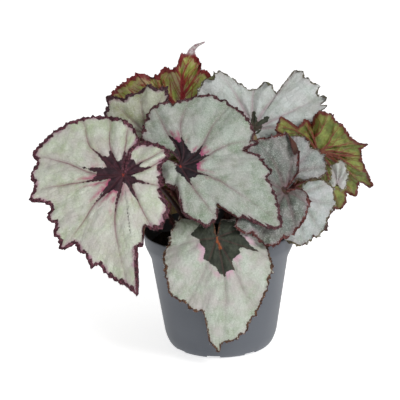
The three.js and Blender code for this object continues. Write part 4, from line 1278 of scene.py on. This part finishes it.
def make_pot():
    rings = np.concatenate([ring_of(radius, z, POT_SIDES) for radius, z in POT_PROFILE[1:-1]])
    ends = [(0, 0, POT_PROFILE[end][1]) for end in (0, -1)]
    points, faces = closed_rings(rings, POT_SIDES, *ends)
    pot = make_object("pot_fine", points, faces, [MATERIALS["pot"]])
    cutters = []
    for k in range(NOTCHES):
        turn = NOTCH_START * DEGREE + k * FULL_TURN / NOTCHES
        bpy.ops.mesh.primitive_cube_add(size=1)
        notch = bpy.context.object
        notch.scale = Vector((NOTCH_REACH, NOTCH_WIDTH, 2 * NOTCH_HEIGHT)) * MM
        notch.location = Vector((FOOT_RADIUS * math.cos(turn), FOOT_RADIUS * math.sin(turn), 0)) * MM
        notch.rotation_euler = (0, 0, turn)
        cutters.append(notch)
    for k in range(DRAIN_HOLES):
        turn = k * FULL_TURN / DRAIN_HOLES
        bpy.ops.mesh.primitive_cylinder_add(vertices=32, radius=DRAIN_RADIUS * MM, depth=DRAIN_CUT * MM)
        hole = bpy.context.object
        hole.location = Vector((DRAIN_CIRCLE * math.cos(turn), DRAIN_CIRCLE * math.sin(turn), DRAIN_Z)) * MM
        cutters.append(hole)
    activate(*cutters)
    bpy.ops.object.join()
    tool = bpy.context.object
    cut = pot.modifiers.new("cut", "BOOLEAN")
    cut.object = tool
    cut.operation = "DIFFERENCE"
    cut.solver = "EXACT"
    activate(pot)
    bpy.ops.object.modifier_apply(modifier="cut")
    bpy.data.objects.remove(tool)
    pot.data.set_sharp_from_angle(angle=SHARP_ANGLE * DEGREE)
    add_piece(pot, "pot_plastic", "pot")


def soil_height(x, y):
    lump = np.sin(SOIL_WAVES[0] * x + 1) * np.cos(SOIL_WAVES[1] * y)
    fine = 0.7 * np.sin(1.3 * x + 0.7 * y) * np.sin(1.1 * y - 0.5 * x)
    fine = fine + 0.5 * np.sin(2.9 * x) * np.sin(2.3 * y + 1)
    return SOIL_Z + SOIL_RELIEF * lump + SOIL_FINE_RELIEF * fine


def make_soil():
    rng = np.random.default_rng(5)
    turn = np.linspace(0, FULL_TURN, SOIL_SIDES, endpoint=False)
    radius = np.linspace(0, SOIL_RADIUS, SOIL_RINGS + 1)[1:, None]
    x, y = radius * np.cos(turn), radius * np.sin(turn)
    top = np.stack([x, y, soil_height(x, y) + rng.normal(0, SOIL_GRAIN, x.shape)], axis=-1).reshape(-1, 3)
    rings = np.concatenate([top, *[ring_of(radius, z, SOIL_SIDES) for radius, z in SOIL_LOWER]])
    points, faces = closed_rings(rings, SOIL_SIDES, (0, 0, SOIL_Z), (0, 0, SOIL_LOWER[-1][1]))
    # these rings run downwards, so each face turns the other way
    outward = [np.roll(group[:, ::-1], 1, axis=1) for group in faces]
    soil = make_object("soil_fine", points, outward, [MATERIALS["soil"]])
    add_piece(soil, "potting_soil", "soil")


def make_crumbs():
    """Loose crumbs and fibres of potting mix on the soil, each an uneven octahedron."""
    rng = np.random.default_rng(6)
    angle = rng.uniform(0, FULL_TURN, CRUMBS)
    radius = CRUMB_CIRCLE * np.sqrt(rng.uniform(0, 1, CRUMBS))
    x, y = radius * np.cos(angle), radius * np.sin(angle)
    centre = np.stack([x, y, soil_height(x, y) + CRUMB_LIFT], axis=1)
    size = rng.uniform(*CRUMB_SIZES, (CRUMBS, 1)) * rng.uniform(*CRUMB_STRETCH, (CRUMBS, 3))
    base = np.array([(1, 0, 0), (-1, 0, 0), (0, 1, 0), (0, -1, 0), (0, 0, 1), (0, 0, -1)], float)
    corners = base[None] + rng.normal(0, CRUMB_ROUGHNESS, (CRUMBS, 6, 3))
    spin = rng.uniform(0, math.pi, CRUMBS)
    c, s = np.cos(spin)[:, None], np.sin(spin)[:, None]
    x, y, z = np.moveaxis(corners, -1, 0)
    corners = np.stack([x * c - y * s, x * s + y * c, z], axis=-1)
    points = (centre[:, None] + corners * size[:, None]).reshape(-1, 3)
    eight = [(0, 2, 4), (2, 1, 4), (1, 3, 4), (3, 0, 4), (2, 0, 5), (1, 2, 5), (3, 1, 5), (0, 3, 5)]
    faces = (np.arange(CRUMBS)[:, None, None] * 6 + np.array(eight)).reshape(-1, 3)
    crumbs = make_object("soil_crumbs", points, [faces], [MATERIALS["soil"]])
    crumbs.data.polygons.foreach_set("use_smooth", np.zeros(len(faces), bool))
    add_piece(crumbs, "potting_soil")


def make_rhizome():
    share = np.linspace(0, 1, RHIZOME_STEPS + 1)
    swell = np.sqrt(np.sin(math.pi * (RHIZOME_END + share * (1 - 2 * RHIZOME_END))))
    along = (share - 0.5) * RHIZOME_LENGTH
    centre = np.stack([along, np.sin(5 * share), SOIL_Z + np.sin(4 * share)], axis=1)
    side, across = tube_frames(np.tile([1.0, 0, 0], (len(share), 1)))
    turn = np.linspace(0, FULL_TURN, RHIZOME_SIDES, endpoint=False)
    knob = KNOB_DEPTH * (1 + np.cos(FULL_TURN * share * KNOBS))[:, None]
    rough = 0.25 * np.sin(5 * turn + 20 * share[:, None]) + 0.2 * np.sin(9 * turn - 31 * share[:, None])
    radii = swell[:, None] * (RHIZOME_RADIUS - knob + rough)
    points, faces = tube_mesh(centre, side, across, radii, RHIZOME_SIDES)
    rhizome = make_object("rhizome_fine", points, faces, [MATERIALS["bark"]])
    add_piece(rhizome, "rhizome_bark", "rhizome")


# ---------------------------------------------------------------- floor, light and camera

CAMERA_ELEVATION = 16
CAMERA_ROLL = -1.25
CAMERA_DISTANCE = 1500
CAMERA_TARGET = (-14.6, 0, 118.6)
FOCAL_PIXELS = 1897.5
PHOTO_WIDTH = 400
SENSOR = 36
FLOOR_SIZE = 12000
FLOOR_Z = -0.5
FLOOR_GLOW = 0.66
SKY_GLOW = 0.41
LIGHT_TARGET = (0, 0, 120)
# place, size and watts
LIGHTS = {"key": ((900, -900, 1200), 700, 15.5), "fill": ((-900, -1000, 700), 900, 1.6)}


def make_camera():
    rise = CAMERA_ELEVATION * DEGREE
    back = Vector((0, -math.cos(rise), math.sin(rise)))
    level = Vector((1, 0, 0))
    upright = back.cross(level)
    roll = CAMERA_ROLL * DEGREE
    right = level * math.cos(roll) + upright * math.sin(roll)
    up = upright * math.cos(roll) - level * math.sin(roll)
    data = bpy.data.cameras.new("camera")
    data.sensor_width = SENSOR
    data.lens = FOCAL_PIXELS * SENSOR / PHOTO_WIDTH
    data.clip_start = 0.05
    data.clip_end = 20
    camera = bpy.data.objects.new("camera", data)
    place = (Vector(CAMERA_TARGET) + back * CAMERA_DISTANCE) * MM
    camera.matrix_world = Matrix.Translation(place) @ Matrix((right, up, back)).transposed().to_4x4()
    bpy.context.scene.collection.objects.link(camera)
    bpy.context.scene.camera = camera


def make_light(name, place, size, watts):
    data = bpy.data.lights.new(name, "AREA")
    data.shape = "SQUARE"
    data.size = size * MM
    data.energy = watts
    light = bpy.data.objects.new(name, data)
    light.location = Vector(place) * MM
    aim = Vector(LIGHT_TARGET) - Vector(place)
    light.rotation_euler = aim.to_track_quat("-Z", "Y").to_euler()
    bpy.context.scene.collection.objects.link(light)


def make_studio():
    white = (1, 1, 1, 1)
    finish = dict(Base_Color=srgb("#f6f6f6"), Emission_Color=white, Emission_Strength=FLOOR_GLOW)
    floor_material = Shader("white_floor", Roughness=0.9, **finish)
    bpy.ops.mesh.primitive_plane_add(size=FLOOR_SIZE * MM)
    floor = bpy.context.object
    floor.name = "floor"
    floor.location = (0, 0, FLOOR_Z * MM)
    floor.data.materials.append(floor_material.material)
    world = bpy.data.worlds.new("studio")
    world.use_nodes = True
    background = world.node_tree.nodes["Background"]
    background.inputs["Color"].default_value = white
    background.inputs["Strength"].default_value = SKY_GLOW
    bpy.context.scene.world = world
    for name, (place, size, watts) in LIGHTS.items():
        make_light(name, place, size, watts)
    bpy.context.scene.view_settings.view_transform = "Standard"


make_camera()
make_studio()
make_pot()
make_soil()
make_crumbs()
make_rhizome()
for number, leaf in enumerate(LEAVES):
    upper = UPPER_SIDES.get(leaf["name"], UPPER_SIDES["other"])
    lower = LOWER_SIDES.get(leaf["name"], LOWER_SIDES["other"])
    make_blade(leaf, [upper, lower], 100 + number)
    make_stalk(leaf, 200 + number)
